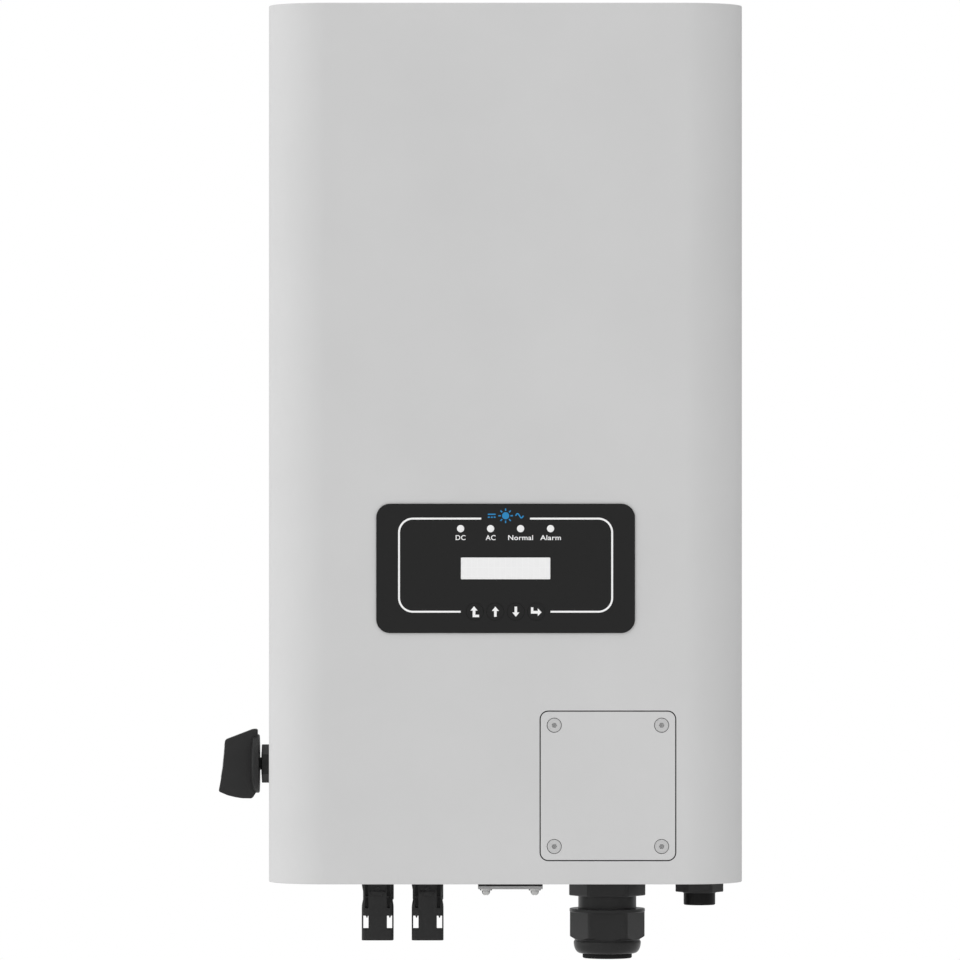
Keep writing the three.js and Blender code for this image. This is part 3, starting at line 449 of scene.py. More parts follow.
def size_inputs(tree, sizes):
    """Gives a node tree its named sizes, and the sockets that carry them into the tree."""
    tree.interface.new_socket("Geometry", in_out="INPUT", socket_type="NodeSocketGeometry")
    tree.interface.new_socket("Geometry", in_out="OUTPUT", socket_type="NodeSocketGeometry")
    kinds = {int: "NodeSocketInt", float: "NodeSocketFloat", tuple: "NodeSocketVector",
             bpy.types.Object: "NodeSocketObject", bpy.types.Material: "NodeSocketMaterial"}
    for label, kind in sizes.items():
        tree.interface.new_socket(label, in_out="INPUT", socket_type=kinds[kind])
    return add_node(tree, "NodeGroupInput").outputs


def grown(name, tree, points, values):
    """Runs a node tree on loose points, in metres, and keeps the result as a plain mesh."""
    seeds = bpy.data.meshes.new("seeds")
    seeds.from_pydata([Vector(p) * MM for p in points], [], [])
    made = bpy.data.objects.new(name, seeds)
    scene.collection.objects.link(made)
    step = made.modifiers.new("grow", "NODES")
    step.node_group = tree
    keys = {item.name: item.identifier for item in tree.interface.items_tree
            if item.item_type == "SOCKET" and item.in_out == "INPUT"}
    for label, value in values.items():
        step[keys[label]] = value
    graph = bpy.context.evaluated_depsgraph_get()
    made.data = bpy.data.meshes.new_from_object(made.evaluated_get(graph))
    made.modifiers.clear()
    bpy.data.meshes.remove(seeds)
    return made


screw_tree = bpy.data.node_groups.new("socket_screws", "GeometryNodeTree")
sizes = size_inputs(screw_tree, {
    "Head Diameter": float, "Head Height": float, "Chamfer": float, "Socket Flats": float,
    "Socket Depth": float, "Facing": tuple, "Steel": bpy.types.Material})
head_radius = add_node(screw_tree, "ShaderNodeMath", {
    0: sizes["Head Diameter"], 1: 2.0}, operation="DIVIDE").outputs[0]
rim_radius = add_node(screw_tree, "ShaderNodeMath", {
    0: head_radius, 1: sizes["Chamfer"]}, operation="SUBTRACT").outputs[0]
plain_height = add_node(screw_tree, "ShaderNodeMath", {
    0: sizes["Head Height"], 1: sizes["Chamfer"]}, operation="SUBTRACT").outputs[0]
hexagon_radius = add_node(screw_tree, "ShaderNodeMath", {
    0: sizes["Socket Flats"], 1: 2 * math.cos(math.pi / 6)}, operation="DIVIDE").outputs[0]
tool_height = add_node(screw_tree, "ShaderNodeMath", {
    0: sizes["Socket Depth"], 1: 2.0}, operation="MULTIPLY").outputs[0]
sunk = []
for sides, bottom_radius, top_radius, height, drop in (
        (40, head_radius, rim_radius, sizes["Chamfer"], sizes["Chamfer"]),
        (40, head_radius, head_radius, plain_height, sizes["Head Height"]),
        (6, hexagon_radius, hexagon_radius, tool_height, sizes["Socket Depth"])):
    cone = add_node(screw_tree, "GeometryNodeMeshCone", {
        "Vertices": sides, "Radius Bottom": bottom_radius, "Radius Top": top_radius,
        "Depth": height})
    down = add_node(screw_tree, "ShaderNodeVectorMath", {
        0: (0.0, 0.0, -1.0), "Scale": drop}, operation="SCALE")
    sunk.append(add_node(screw_tree, "GeometryNodeTransform", {
        "Geometry": cone.outputs["Mesh"], "Translation": down.outputs[0]}).outputs[0])
chamfered_rim, drum, socket = sunk
head = add_node(screw_tree, "GeometryNodeMeshBoolean", operation="UNION", solver="EXACT")
for part in (chamfered_rim, drum):
    screw_tree.links.new(part, head.inputs["Mesh 2"])
hollowed = add_node(screw_tree, "GeometryNodeMeshBoolean", {
    "Mesh 1": head.outputs["Mesh"], "Mesh 2": socket}, operation="DIFFERENCE", solver="EXACT")
set_screws = add_node(screw_tree, "GeometryNodeInstanceOnPoints", {
    "Points": sizes["Geometry"], "Instance": hollowed.outputs["Mesh"],
    "Rotation": sizes["Facing"]})
real = add_node(screw_tree, "GeometryNodeRealizeInstances", {
    "Geometry": set_screws.outputs["Instances"]})
steel_set = add_node(screw_tree, "GeometryNodeSetMaterial", {
    "Geometry": real.outputs[0], "Material": sizes["Steel"]})
add_node(screw_tree, "NodeGroupOutput", {"Geometry": steel_set.outputs[0]})

# Zinc plate on steel, clear passivated: a cool grey metal, dulled, with a faint cloudy spangle
# about 5 mm wide from the plating bath.
zinc_plate, tree, place = new_material("Zinc-plated steel, clear passivated")
spangle = add_node(tree, "ShaderNodeTexVoronoi", {
    "Vector": place, "Scale": 1 / (5 * MM), "Randomness": 1.0}, feature="F1")
fog = add_node(tree, "ShaderNodeTexNoise", {"Vector": place, "Scale": 1 / (25 * MM), "Detail": 3.0})
mixed = add_node(tree, "ShaderNodeMix", {
    "Factor": 0.55, "A": spangle.outputs["Distance"], "B": fog.outputs["Fac"]})
metal = add_node(tree, "ShaderNodeValToRGB", {"Fac": mixed.outputs[0]},
                 ramp={0.2: "#aeb1b4", 0.7: "#bfc1c2"})
rough = add_node(tree, "ShaderNodeMapRange", {
    "Value": mixed.outputs[0], "From Min": 0.2, "From Max": 0.7, "To Min": 0.34, "To Max": 0.48})
shade(tree, Base_Color=metal.outputs["Color"], Metallic=1.0, Roughness=rough.outputs[0])

# The heads are set in the finished shell, so their plating stays bare.
for side, x, turn in (("left", shell_low.x, -90), ("right", shell_high.x, 90)):
    places = [(x, y, z) for y, z in side_screw_places]
    screws = grown(f"side_screws_{side}", screw_tree, places, {
        "Head Diameter": side_screw_head * MM, "Head Height": 1.1 * MM, "Chamfer": 0.3 * MM,
        "Socket Flats": 3.0 * MM, "Socket Depth": 0.8 * MM,
        "Facing": (0.0, math.radians(turn), 0.0), "Steel": zinc_plate})
    ridden(screws, zinc_plate, "zinc_steel", smooth=30)

# ---------- End plates and body gasket ----------
# A flat aluminium plate closes each end, set a millimetre inside the shell's rim with a fine gap,
# and coated in the same grey. A black rubber gasket seals plates and shell to the heat sink.

plate_gap, tab_thickness = 0.3, 3
plate_rear = box_mm("bottom_plate")[1].y


def block(x0, x1, y0, y1, z0, z1, edge=0.0):
    return slab([(x0, y0), (x1, y0), (x1, y1), (x0, y1)], z0, z1, edge=edge)


for end, name in ((1, "top_plate"), (-1, "bottom_plate")):
    low, high = box_mm(name)
    outer, tab_end = (high.z, low.z) if end > 0 else (low.z, high.z)
    sheet = slab(
        cabinet_outline(shell_wall + plate_gap, plate_rear),
        *sorted((outer, outer - end * plate_thickness)), edge=0.5)
    tab_z = sorted((outer - end * (plate_thickness - 1), tab_end))
    tabs = [block(x, x + tab_thickness, *tab_ends, *tab_z, edge=0.2)
            for x in (low.x, high.x - tab_thickness)]
    piece(name + "_panel", together(sheet, *tabs), powder_coat, "cabinet_paint", replaced=(name,))

# EPDM rubber, moulded and cut: near black, matt, with a fine grain that scatters light evenly.
rubber, tree, place = new_material("EPDM rubber, matt black")
grain = add_node(tree, "ShaderNodeTexNoise", {
    "Vector": place, "Scale": 1 / (0.7 * MM), "Detail": 3.0, "Roughness": 0.6})
blacks = add_node(tree, "ShaderNodeValToRGB", {"Fac": grain.outputs["Fac"]},
                  ramp={0.0: "#131313", 1.0: "#1c1c1c"})
bumps = add_node(tree, "ShaderNodeBump", {
    "Height": grain.outputs["Fac"], "Strength": 0.35, "Distance": 0.05 * MM})
shade(tree, Base_Color=blacks.outputs["Color"], Roughness=0.85, Specular_IOR_Level=0.25,
      Normal=bumps.outputs["Normal"])


def refinished(node, material):
    """A CAD node whose shape is right keeps it and gets its real finish."""
    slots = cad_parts[node].data.materials
    if len(slots) == 0:
        slots.append(material)
    for index in range(len(slots)):
        slots[index] = material


refinished("body_gasket", rubber)

# ---------- Heat sink ----------
# One aluminium extrusion behind the cabinet: a thick base, upright tapered fins 12 mm apart and
# two wide rails that the hanger plate is screwed to. It is clear anodised.

sink_low, sink_high = box_mm("heat_sink")
hanger_low, hanger_high = box_mm("hanger_plate")
base_front = box_mm("body_gasket")[1].y + 0.3
base_thickness = 8.0
fin_root, fin_tip, fin_depth, fin_pitch = 3.2, 2.2, 40.0, 12.0
rail_width, rail_inset = 10.0, 21.0
rail_x = hanger_high.x - rail_inset
sink_margin = 8
fin_count = 2 * int((sink_high.x - sink_margin) // fin_pitch) + 1

fin_tree = bpy.data.node_groups.new("finned_extrusion", "GeometryNodeTree")
sizes = size_inputs(fin_tree, {
    "Height": float, "Width": float, "Base Front": float, "Base Thickness": float,
    "Fin Count": int, "Fin Pitch": float, "Fin Root": float, "Fin Tip": float,
    "Fin Depth": float, "Tip Rounding": float, "Rail Offset": float, "Rail Width": float,
    "Rail Depth": float, "Metal": bpy.types.Material})


def bar(tree, width, depth, height, x, y):
    """An upright bar as a mesh, at a place in plan."""
    size = add_node(tree, "ShaderNodeCombineXYZ", {"X": width, "Y": depth, "Z": height})
    cube = add_node(tree, "GeometryNodeMeshCube", {"Size": size.outputs[0]})
    place = add_node(tree, "ShaderNodeCombineXYZ", {"X": x, "Y": y})
    return add_node(tree, "GeometryNodeTransform", {
        "Geometry": cube.outputs["Mesh"], "Translation": place.outputs[0]}).outputs[0]


buried = 0.5 * MM
base_rear = add_node(fin_tree, "ShaderNodeMath", {
    0: sizes["Base Front"], 1: sizes["Base Thickness"]}, operation="ADD").outputs[0]
base_middle = add_node(fin_tree, "ShaderNodeMath", {
    0: sizes["Base Thickness"], 1: 0.5, 2: sizes["Base Front"]},
    operation="MULTIPLY_ADD").outputs[0]
root = add_node(fin_tree, "ShaderNodeMath", {
    0: base_rear, 1: buried}, operation="SUBTRACT").outputs[0]
rail_middle, fin_middle = [add_node(fin_tree, "ShaderNodeMath", {
    0: sizes[depth], 1: 0.5, 2: root}, operation="MULTIPLY_ADD").outputs[0]
    for depth in ("Rail Depth", "Fin Depth")]
base_bar = bar(fin_tree, sizes["Width"], sizes["Base Thickness"], sizes["Height"], 0.0, base_middle)
rails = []
for side in (-1.0, 1.0):
    offset = add_node(fin_tree, "ShaderNodeMath", {
        0: sizes["Rail Offset"], 1: side}, operation="MULTIPLY").outputs[0]
    rails.append(bar(fin_tree, sizes["Rail Width"], sizes["Rail Depth"], sizes["Height"],
                     offset, rail_middle))
profile = add_node(fin_tree, "GeometryNodeCurvePrimitiveQuadrilateral", {
    "Height": sizes["Fin Depth"], "Bottom Width": sizes["Fin Root"], "Top Width": sizes["Fin Tip"],
    "Offset": 0.0}, mode="TRAPEZOID")
softened = add_node(fin_tree, "GeometryNodeFilletCurve", {
    "Curve": profile.outputs[0], "Radius": sizes["Tip Rounding"], "Count": 4}, mode="POLY")
filled = add_node(fin_tree, "GeometryNodeFillCurve", {"Curve": softened.outputs[0]}, mode="NGONS")
rise = add_node(fin_tree, "ShaderNodeCombineXYZ", {"Z": sizes["Height"]})
drawn = add_node(fin_tree, "GeometryNodeExtrudeMesh", {
    "Mesh": filled.outputs[0], "Offset": rise.outputs[0], "Individual": False}, mode="FACES")
underside = add_node(fin_tree, "GeometryNodeFlipFaces", {"Mesh": filled.outputs[0]})
closed = add_node(fin_tree, "GeometryNodeJoinGeometry")
for part in (underside, drawn):
    fin_tree.links.new(part.outputs[0], closed.inputs[0])
welded = add_node(fin_tree, "GeometryNodeMergeByDistance", {
    "Geometry": closed.outputs[0], "Distance": 1e-6})
half_down = add_node(fin_tree, "ShaderNodeMath", {
    0: sizes["Height"], 1: -0.5}, operation="MULTIPLY").outputs[0]
fin_place = add_node(fin_tree, "ShaderNodeCombineXYZ", {"Y": fin_middle, "Z": half_down})
stood = add_node(fin_tree, "GeometryNodeTransform", {
    "Geometry": welded.outputs[0], "Translation": fin_place.outputs[0]})
half_row = add_node(fin_tree, "ShaderNodeMath", {
    0: sizes["Fin Count"], 1: -0.5, 2: 0.5}, operation="MULTIPLY_ADD").outputs[0]
first_fin = add_node(fin_tree, "ShaderNodeMath", {
    0: half_row, 1: sizes["Fin Pitch"]}, operation="MULTIPLY").outputs[0]
row_start = add_node(fin_tree, "ShaderNodeCombineXYZ", {"X": first_fin})
row_step = add_node(fin_tree, "ShaderNodeCombineXYZ", {"X": sizes["Fin Pitch"]})
row = add_node(fin_tree, "GeometryNodeMeshLine", {
    "Count": sizes["Fin Count"], "Start Location": row_start.outputs[0],
    "Offset": row_step.outputs[0]})
across = add_node(fin_tree, "ShaderNodeSeparateXYZ", {
    "Vector": add_node(fin_tree, "GeometryNodeInputPosition").outputs[0]})
from_middle = add_node(fin_tree, "ShaderNodeMath", {
    0: across.outputs["X"]}, operation="ABSOLUTE").outputs[0]
past_rail = add_node(fin_tree, "ShaderNodeMath", {
    0: from_middle, 1: sizes["Rail Offset"]}, operation="SUBTRACT").outputs[0]
from_rail = add_node(fin_tree, "ShaderNodeMath", {0: past_rail}, operation="ABSOLUTE").outputs[0]
clear = add_node(fin_tree, "FunctionNodeCompare", {
    "A": from_rail, "B": sizes["Rail Width"]}, data_type="FLOAT", operation="GREATER_THAN")
fins = add_node(fin_tree, "GeometryNodeInstanceOnPoints", {
    "Points": row.outputs["Mesh"], "Selection": clear.outputs["Result"],
    "Instance": stood.outputs[0]})
all_parts = add_node(fin_tree, "GeometryNodeJoinGeometry")
for socket_out in (base_bar, *rails, fins.outputs[0]):
    fin_tree.links.new(socket_out, all_parts.inputs[0])
real = add_node(fin_tree, "GeometryNodeRealizeInstances", {"Geometry": all_parts.outputs[0]})
metal_set = add_node(fin_tree, "GeometryNodeSetMaterial", {
    "Geometry": real.outputs[0], "Material": sizes["Metal"]})
add_node(fin_tree, "NodeGroupOutput", {"Geometry": metal_set.outputs[0]})

# Clear-anodised aluminium extrusion: satin silver grey, with upright die lines. The lines are
# drawn 0.8 mm wide, several times their real width, so that they show.
anodised, tree, place = new_material("Clear-anodised aluminium extrusion")
along = add_node(tree, "ShaderNodeMapping", {"Vector": place, "Scale": (1.0, 1.0, 0.004)})
die_lines = add_node(tree, "ShaderNodeTexNoise", {
    "Vector": along.outputs[0], "Scale": 1 / (0.8 * MM), "Detail": 2.0})
tone = add_node(tree, "ShaderNodeTexNoise", {
    "Vector": place, "Scale": 1 / (60 * MM), "Detail": 2.0})
silver = add_node(tree, "ShaderNodeMix", {
    "Factor": 0.3, "A": die_lines.outputs["Fac"], "B": tone.outputs["Fac"]})
silver_ramp = add_node(tree, "ShaderNodeValToRGB", {"Fac": silver.outputs[0]},
                       ramp={0.3: "#b3b6b9", 0.7: "#c3c6c8"})
satin = add_node(tree, "ShaderNodeMapRange", {
    "Value": die_lines.outputs["Fac"], "To Min": 0.36, "To Max": 0.5})
lines = add_node(tree, "ShaderNodeBump", {
    "Height": die_lines.outputs["Fac"], "Strength": 0.3, "Distance": 0.03 * MM})
shade(tree, Base_Color=silver_ramp.outputs["Color"], Metallic=1.0, Roughness=satin.outputs[0],
      Normal=lines.outputs["Normal"])

sink = grown("finned_heat_sink", fin_tree, [(0, 0, 0)], {
    "Height": (sink_high.z - sink_low.z) * MM, "Width": (sink_high.x - sink_low.x) * MM,
    "Base Front": base_front * MM, "Base Thickness": base_thickness * MM,
    "Fin Count": fin_count, "Fin Pitch": fin_pitch * MM, "Fin Root": fin_root * MM,
    "Fin Tip": fin_tip * MM, "Fin Depth": fin_depth * MM + buried, "Tip Rounding": 0.9 * MM,
    "Rail Offset": rail_x * MM, "Rail Width": rail_width * MM,
    "Rail Depth": (sink_high.y - base_front - base_thickness) * MM + buried, "Metal": anodised})
ridden(sink, anodised, "heat_sink_aluminium", replaced=("heat_sink",), edge=0.35, edge_angle=60)

# ---------- Hanger plate and its screws ----------
# A 3 mm steel plate, punched with two keyholes for wall screws and two plain holes below them,
# zinc plated, and held to the rails by four socket screws with their heads sunk into it.


def four_of(name):
    """Names of four like CAD nodes."""
    return [f"{name}_{number}" for number in (1, 2, 3, 4)]


hanger_width, hanger_height = hanger_high.x - hanger_low.x, hanger_high.z - hanger_low.z
keyhole_x, keyhole_z = 55.0, 120.0
keyhole_head, keyhole_neck, keyhole_length = 14.0, 7.0, 14.0
neck_angle = math.degrees(math.asin(keyhole_neck / keyhole_head))
keyholes = [
    arc(side * keyhole_x, keyhole_z, keyhole_head / 2, 90 + neck_angle, 450 - neck_angle, 40)
    + arc(side * keyhole_x, keyhole_z + keyhole_length, keyhole_neck / 2, 0, 180, 20)
    for side in (-1, 1)]
lower_holes = [circle(keyhole_neck, side * keyhole_x, -keyhole_z) for side in (-1, 1)]
hanger_screw_low, hanger_screw_high = box_mm("hanger_screw_1")
screw_places = [(x, z) for x, _, z in map(centre, four_of("hanger_screw"))]
screw_head = hanger_screw_high.x - hanger_screw_low.x
screw_gap, screw_sunk = 0.3, 0.3
screw_holes = [circle(screw_head + 2 * screw_gap, x, z) for x, z in screw_places]
plate = slab(
    rounded_rectangle(hanger_width, hanger_height, 8), 0, hanger_high.y - hanger_low.y, edge=0.35,
    holes=[*keyholes, *lower_holes, *screw_holes])
piece("hanger", plate, zinc_plate, "zinc_steel", replaced=("hanger_plate",),
      at=out_of_front(hanger_high.y))
hanger_heads = grown("hanger_screw_heads", screw_tree, [
    (x, hanger_high.y - screw_sunk, z) for x, z in screw_places], {
    "Head Diameter": screw_head * MM, "Head Height": 2.9 * MM, "Chamfer": 0.3 * MM,
    "Socket Flats": 3.0 * MM, "Socket Depth": 1.8 * MM,
    "Facing": (math.radians(-90), 0.0, 0.0), "Steel": zinc_plate})
ridden(hanger_heads, zinc_plate, "zinc_steel", smooth=30,
       replaced=four_of("hanger_screw"))

# ---------- Display label ----------
# A black polyester film label with white screen print, stuck over the shell. It has a clear window
# over a liquid-crystal module, four light pipes for status lamps, and four soft keys.

label_low, label_high = box_mm("display_overlay")
label_x, _, label_z = centre("display_overlay")
label_front, label_back = label_low.y, label_high.y
label_corner = 8.6
ink_height, film_gap = 0.03, 0.08
key_centres = {}
for node in ("key_back", "key_up", "key_down", "key_enter"):
    x, _, z = centre(node)
    key_centres[node] = (x - label_x, z - label_z)
lamp_centres = [(x - label_x, z - label_z) for x, _, z in map(centre, four_of("lamp_pipe"))]
key_diameter = key_high.x - key_low.x + 0.3
lamp_diameter = lamp_high.x - lamp_low.x
on_label = out_of_front(label_front, label_x, label_z)


def speckled(name, dark, light, size, relief=None, **surface):
    """A material of two close tones in spots of a real size, in millimetres.

    A relief is how strongly the spots stand out and their height in millimetres.
    """
    made, tree, place = new_material(name)
    spots = add_node(tree, "ShaderNodeTexNoise", {
        "Vector": place, "Scale": 1 / (size * MM), "Detail": 2.0}).outputs["Fac"]
    tones = add_node(tree, "ShaderNodeValToRGB", {"Fac": spots}, ramp={0.0: dark, 1.0: light})
    if relief:
        bumps = add_node(tree, "ShaderNodeBump", {
            "Height": spots, "Strength": relief[0], "Distance": relief[1] * MM})
        surface["Normal"] = bumps.outputs["Normal"]
    shade(tree, Base_Color=tones.outputs["Color"], **surface)
    return made


# Polyester label film, fine-textured and printed black on its back: a soft, even, dark satin.
# The texture is drawn 0.9 mm wide, coarser than it is, so that it shows.
label_film = speckled("Polyester label film, textured black", "#1a1a1a", "#1e1e1e", 0.9,
                      (0.25, 0.03), Roughness=0.55, Specular_IOR_Level=0.22)


def ink(name, hex_color):
    """Screen ink under the film's matt coat: flat colour with a faint unevenness 2 mm wide."""
    made, tree, place = new_material(name)
    patches = add_node(tree, "ShaderNodeTexNoise", {
        "Vector": place, "Scale": 1 / (2 * MM), "Detail": 2.0})
    tones = add_node(tree, "ShaderNodeMapRange", {
        "Value": patches.outputs["Fac"], "To Min": 0.96, "To Max": 1.0})
    colors = add_node(tree, "ShaderNodeMix", {
        "Factor": 1.0, "A": linear(hex_color), "B": tones.outputs[0]},
        data_type="RGBA", blend_type="MULTIPLY")
    shade(tree, Base_Color=colors.outputs["Result"], Roughness=0.6, Specular_IOR_Level=0.2)
    return made


white_ink = ink("Screen ink, white", "#ffffff")
blue_ink = ink("Screen ink, blue", "#2f8cc6")

window_width, window_height = window_high.x - window_low.x, window_high.z - window_low.z
film_holes = [rounded_rectangle(window_width + 2 * film_gap, window_height + 2 * film_gap, 0.6)]
film_holes += [circle(lamp_diameter + 2 * film_gap, x, z) for x, z in lamp_centres]
film_holes += [circle(key_diameter + 2 * film_gap, x, z) for x, z in key_centres.values()]
film = slab(
    rounded_rectangle(label_high.x - label_low.x, label_high.z - label_low.z, label_corner,
                      steps=16),
    label_front - label_back, 0, edge=0.15, holes=film_holes)
piece("label_film", film, label_film, "display_film", replaced=("display_overlay",), at=on_label)


def printed(name, outlines, material, body="cabinet", at=on_label):
    """Ink on the label: each outline a thin raised patch."""
    patches = [slab(points, -0.01, ink_height, edge=0) for points in outlines]
    piece(name, together(*patches), material, "display_film", body=body, at=at)


def stroke(points, width):
    """The outline of a line of even width through some points."""
    left, right = [], []
    for i, point in enumerate(points):
        here = Vector(point)
        before = here - Vector(points[i - 1]) if i else Vector(points[1]) - here
        after = Vector(points[i + 1]) - here if i + 1 < len(points) else before
        across = (before.normalized() + after.normalized()).normalized()
        offset = Vector((-across.y, across.x)) * width / 2
        left.append(tuple(here + offset))
        right.append(tuple(here - offset))
    return left + right[::-1]


# The printed border: two brackets, open above for a symbol and below for the keys.
border_width, border_height, border_rise = 133.1, 58.8, 2.0
border_line, border_corner = 1.15, 9.2
top_gap, bottom_gap = 15.1, 27.8
half_w, half_h = (border_width - border_line) / 2, (border_height - border_line) / 2
bend = border_corner - border_line / 2
brackets = []
for side in (-1, 1):
    path = [(top_gap, half_h), *arc(half_w - bend, half_h - bend, bend, 90, 0, 16),
            *arc(half_w - bend, -half_h + bend, bend, 0, -90, 16), (bottom_gap, -half_h)]
    brackets.append(stroke([(side * x, y + border_rise) for x, y in path], border_line))
printed("label_border", brackets, white_ink)

# A generic symbol of what the cabinet does: direct current, the sun, alternating current.
sun_rise, sun_diameter, symbol_line = 32.6, 4.4, 0.8
ray_start, ray_end = 3.0, 4.5
bar_start, bar_end, bar_rise = -11, -6.2, 0.9
dash_middles, dash_half = (-10.4, -8.6, -6.8), 0.6
wave_start, wave_length, wave_height, wave_steps = 6.2, 4.8, 1.3, 20
rays = [stroke([(r * math.cos(a), sun_rise + r * math.sin(a)) for r in (ray_start, ray_end)],
               symbol_line) for a in (math.radians(45 * i) for i in range(8))]
solid_bar = stroke([(bar_start, sun_rise + bar_rise), (bar_end, sun_rise + bar_rise)], symbol_line)
dashes = [stroke([(x - dash_half, sun_rise - bar_rise), (x + dash_half, sun_rise - bar_rise)],
                 symbol_line) for x in dash_middles]
wave = stroke([(wave_start + wave_length * i / wave_steps,
                sun_rise + wave_height * math.sin(2 * math.pi * i / wave_steps))
               for i in range(wave_steps + 1)], symbol_line)
printed("label_symbol", [circle(sun_diameter, 0, sun_rise), *rays, *dashes, wave, solid_bar],
        blue_ink)

# Captions under the lamps, in plain capitals and small letters.
caption_rise, capital_height = 19.1, 3.0
for (x, z), (word, width) in zip(lamp_centres, (
        ("DC", 6.1), ("AC", 6.2), ("Normal", 15.4), ("Alarm", 12.8))):
    text = bpy.data.curves.new("caption", "FONT")
    text.body, text.size, text.offset = word, 4.4, 0.05
    text.space_character = 1.05
    text.resolution_u = 6
    writing = bpy.data.objects.new("caption", text)
    scene.collection.objects.link(writing)
    flat = bpy.data.meshes.new_from_object(
        writing.evaluated_get(bpy.context.evaluated_depsgraph_get()))
    bpy.data.objects.remove(writing)
    bm = bmesh.new()
    bm.from_mesh(flat)
    bpy.data.meshes.remove(flat)
    bmesh.ops.remove_doubles(bm, verts=bm.verts, dist=1e-4)
    xs = [v.co.x for v in bm.verts]
    tops = max(v.co.y for v in bm.verts)
    spread = width / (max(xs) - min(xs))
    for vert in bm.verts:
        vert.co.x = (vert.co.x - (max(xs) + min(xs)) / 2) * spread + x
        vert.co.y = vert.co.y * capital_height / tops + caption_rise - capital_height / 2
        vert.co.z = 0.0
    raised = bmesh.ops.extrude_face_region(bm, geom=bm.faces[:])
    for item in raised["geom"]:
        if isinstance(item, bmesh.types.BMVert):
            item.co.z = ink_height
    bmesh.ops.recalc_face_normals(bm, faces=bm.faces)
    piece(f"caption_{word.lower()}", bm, white_ink, "display_film", at=on_label)

# Window over the module: clear acrylic in front of a pale panel of faint character cells, 3.5 mm
# wide and 7 mm high. Seen from outside it is pale grey with a smooth gloss.
cell_width, cell_height, cell_gap = 3.5, 7.0, 0.3
display_glass, tree, place = new_material("Acrylic window over liquid-crystal panel")
centred = add_node(tree, "ShaderNodeMapping", {
    "Vector": place, "Rotation": (math.radians(90), 0, 0),
    "Location": (8 * cell_width * MM, label_z * -MM, 0)})
cells = add_node(tree, "ShaderNodeTexBrick", {
    "Vector": centred.outputs[0], "Scale": 1.0, "Mortar Size": cell_gap * MM,
    "Mortar Smooth": 0.3, "Brick Width": cell_width * MM, "Row Height": cell_height * MM,
    "Color1": linear("#f8f8f8"), "Color2": linear("#f7f7f7"), "Mortar": linear("#fafafa")},
    offset=0.0)
shade(tree, Base_Color=cells.outputs["Color"], Roughness=0.3, Specular_IOR_Level=0.3,
      Coat_Weight=0.4, Coat_Roughness=0.05)
window = slab(rounded_rectangle(window_width, window_height, 0.5),
              window_low.y - window_high.y, 0, edge=0.2)
piece("display_window_pane", window, display_glass, "clear_window", replaced=("display_window",),
      at=on_label)


def turned(profile, steps=64):
    """A closed profile of (radius, height) pairs turned about Z; points on the axis close it."""
    bm = bmesh.new()
    rings = []
    for radius, height in profile:
        if radius < 1e-6:
            rings.append([bm.verts.new((0, 0, height))])
        else:
            rings.append([bm.verts.new((*p, height)) for p in circle(2 * radius, steps=steps)])
    follows = list(zip(rings, rings[1:]))
    if len(rings[0]) > 1 and len(rings[-1]) > 1:
        follows.append((rings[-1], rings[0]))
    for near, far in follows:
        for i in range(steps):
            if len(near) == 1:
                bm.faces.new((near[0], far[i], far[i - 1]))
            elif len(far) == 1:
                bm.faces.new((near[i - 1], near[i], far[0]))
            else:
                bm.faces.new((near[i - 1], near[i], far[i], far[i - 1]))
    bmesh.ops.recalc_face_normals(bm, faces=bm.faces)
    return bm


# Loose points that a modelled piece is set out on, as the tree's own instances.
set_out_tree = bpy.data.node_groups.new("set_out_on_points", "GeometryNodeTree")
sizes = size_inputs(set_out_tree, {
    "Piece": bpy.types.Object, "Facing": tuple, "Finish": bpy.types.Material})
source = add_node(set_out_tree, "GeometryNodeObjectInfo", {"Object": sizes["Piece"]})
set_out = add_node(set_out_tree, "GeometryNodeInstanceOnPoints", {
    "Points": sizes["Geometry"], "Instance": source.outputs["Geometry"],
    "Rotation": sizes["Facing"]})
real = add_node(set_out_tree, "GeometryNodeRealizeInstances", {"Geometry": set_out.outputs[0]})
finish_set = add_node(set_out_tree, "GeometryNodeSetMaterial", {
    "Geometry": real.outputs[0], "Material": sizes["Finish"]})
add_node(set_out_tree, "NodeGroupOutput", {"Geometry": finish_set.outputs[0]})


def set_out_on(name, bm, points, turn, material, slot, **fit):
    """Sets a piece, drawn in millimetres, on each point and turns it to its facing."""
    model = as_object(moved(bm, Matrix.Scale(MM, 4)), "model")
    made = grown(name, set_out_tree, points, {
        "Piece": model, "Facing": tuple(math.radians(a) for a in turn), "Finish": material})
    discard(model)
    ridden(made, material, slot, **fit)


# Milky acrylic light pipes, polished on their shallow domed ends.
milky, tree, place = new_material("Acrylic light pipe, milky")
depth = add_node(tree, "ShaderNodeTexNoise", {
    "Vector": place, "Scale": 1 / (3 * MM), "Detail": 1.0})
milk = add_node(tree, "ShaderNodeValToRGB", {"Fac": depth.outputs["Fac"]},
                ramp={0.0: "#f5f5f5", 1.0: "#fbfbfb"})
shade(tree, Base_Color=milk.outputs["Color"], Roughness=0.25, Specular_IOR_Level=0.4,
      Coat_Weight=0.3, Coat_Roughness=0.05)
lamp_radius = lamp_diameter / 2
lamp_length, lens_rise = lamp_high.y - lamp_low.y, 0.35
lens = turned([(0, -lamp_length), (lamp_radius, -lamp_length), (lamp_radius, 0.0),
               *[(lamp_radius * math.cos(a), lens_rise * math.sin(a))
                 for a in (math.radians(15 * i) for i in range(1, 6))], (0, lens_rise)], steps=40)
set_out_on("lamp_lenses", lens, [(label_x + x, label_front, label_z + z) for x, z in lamp_centres],
           (90, 0, 0), milky, "lamp_plastic", replaced=four_of("lamp_pipe"))

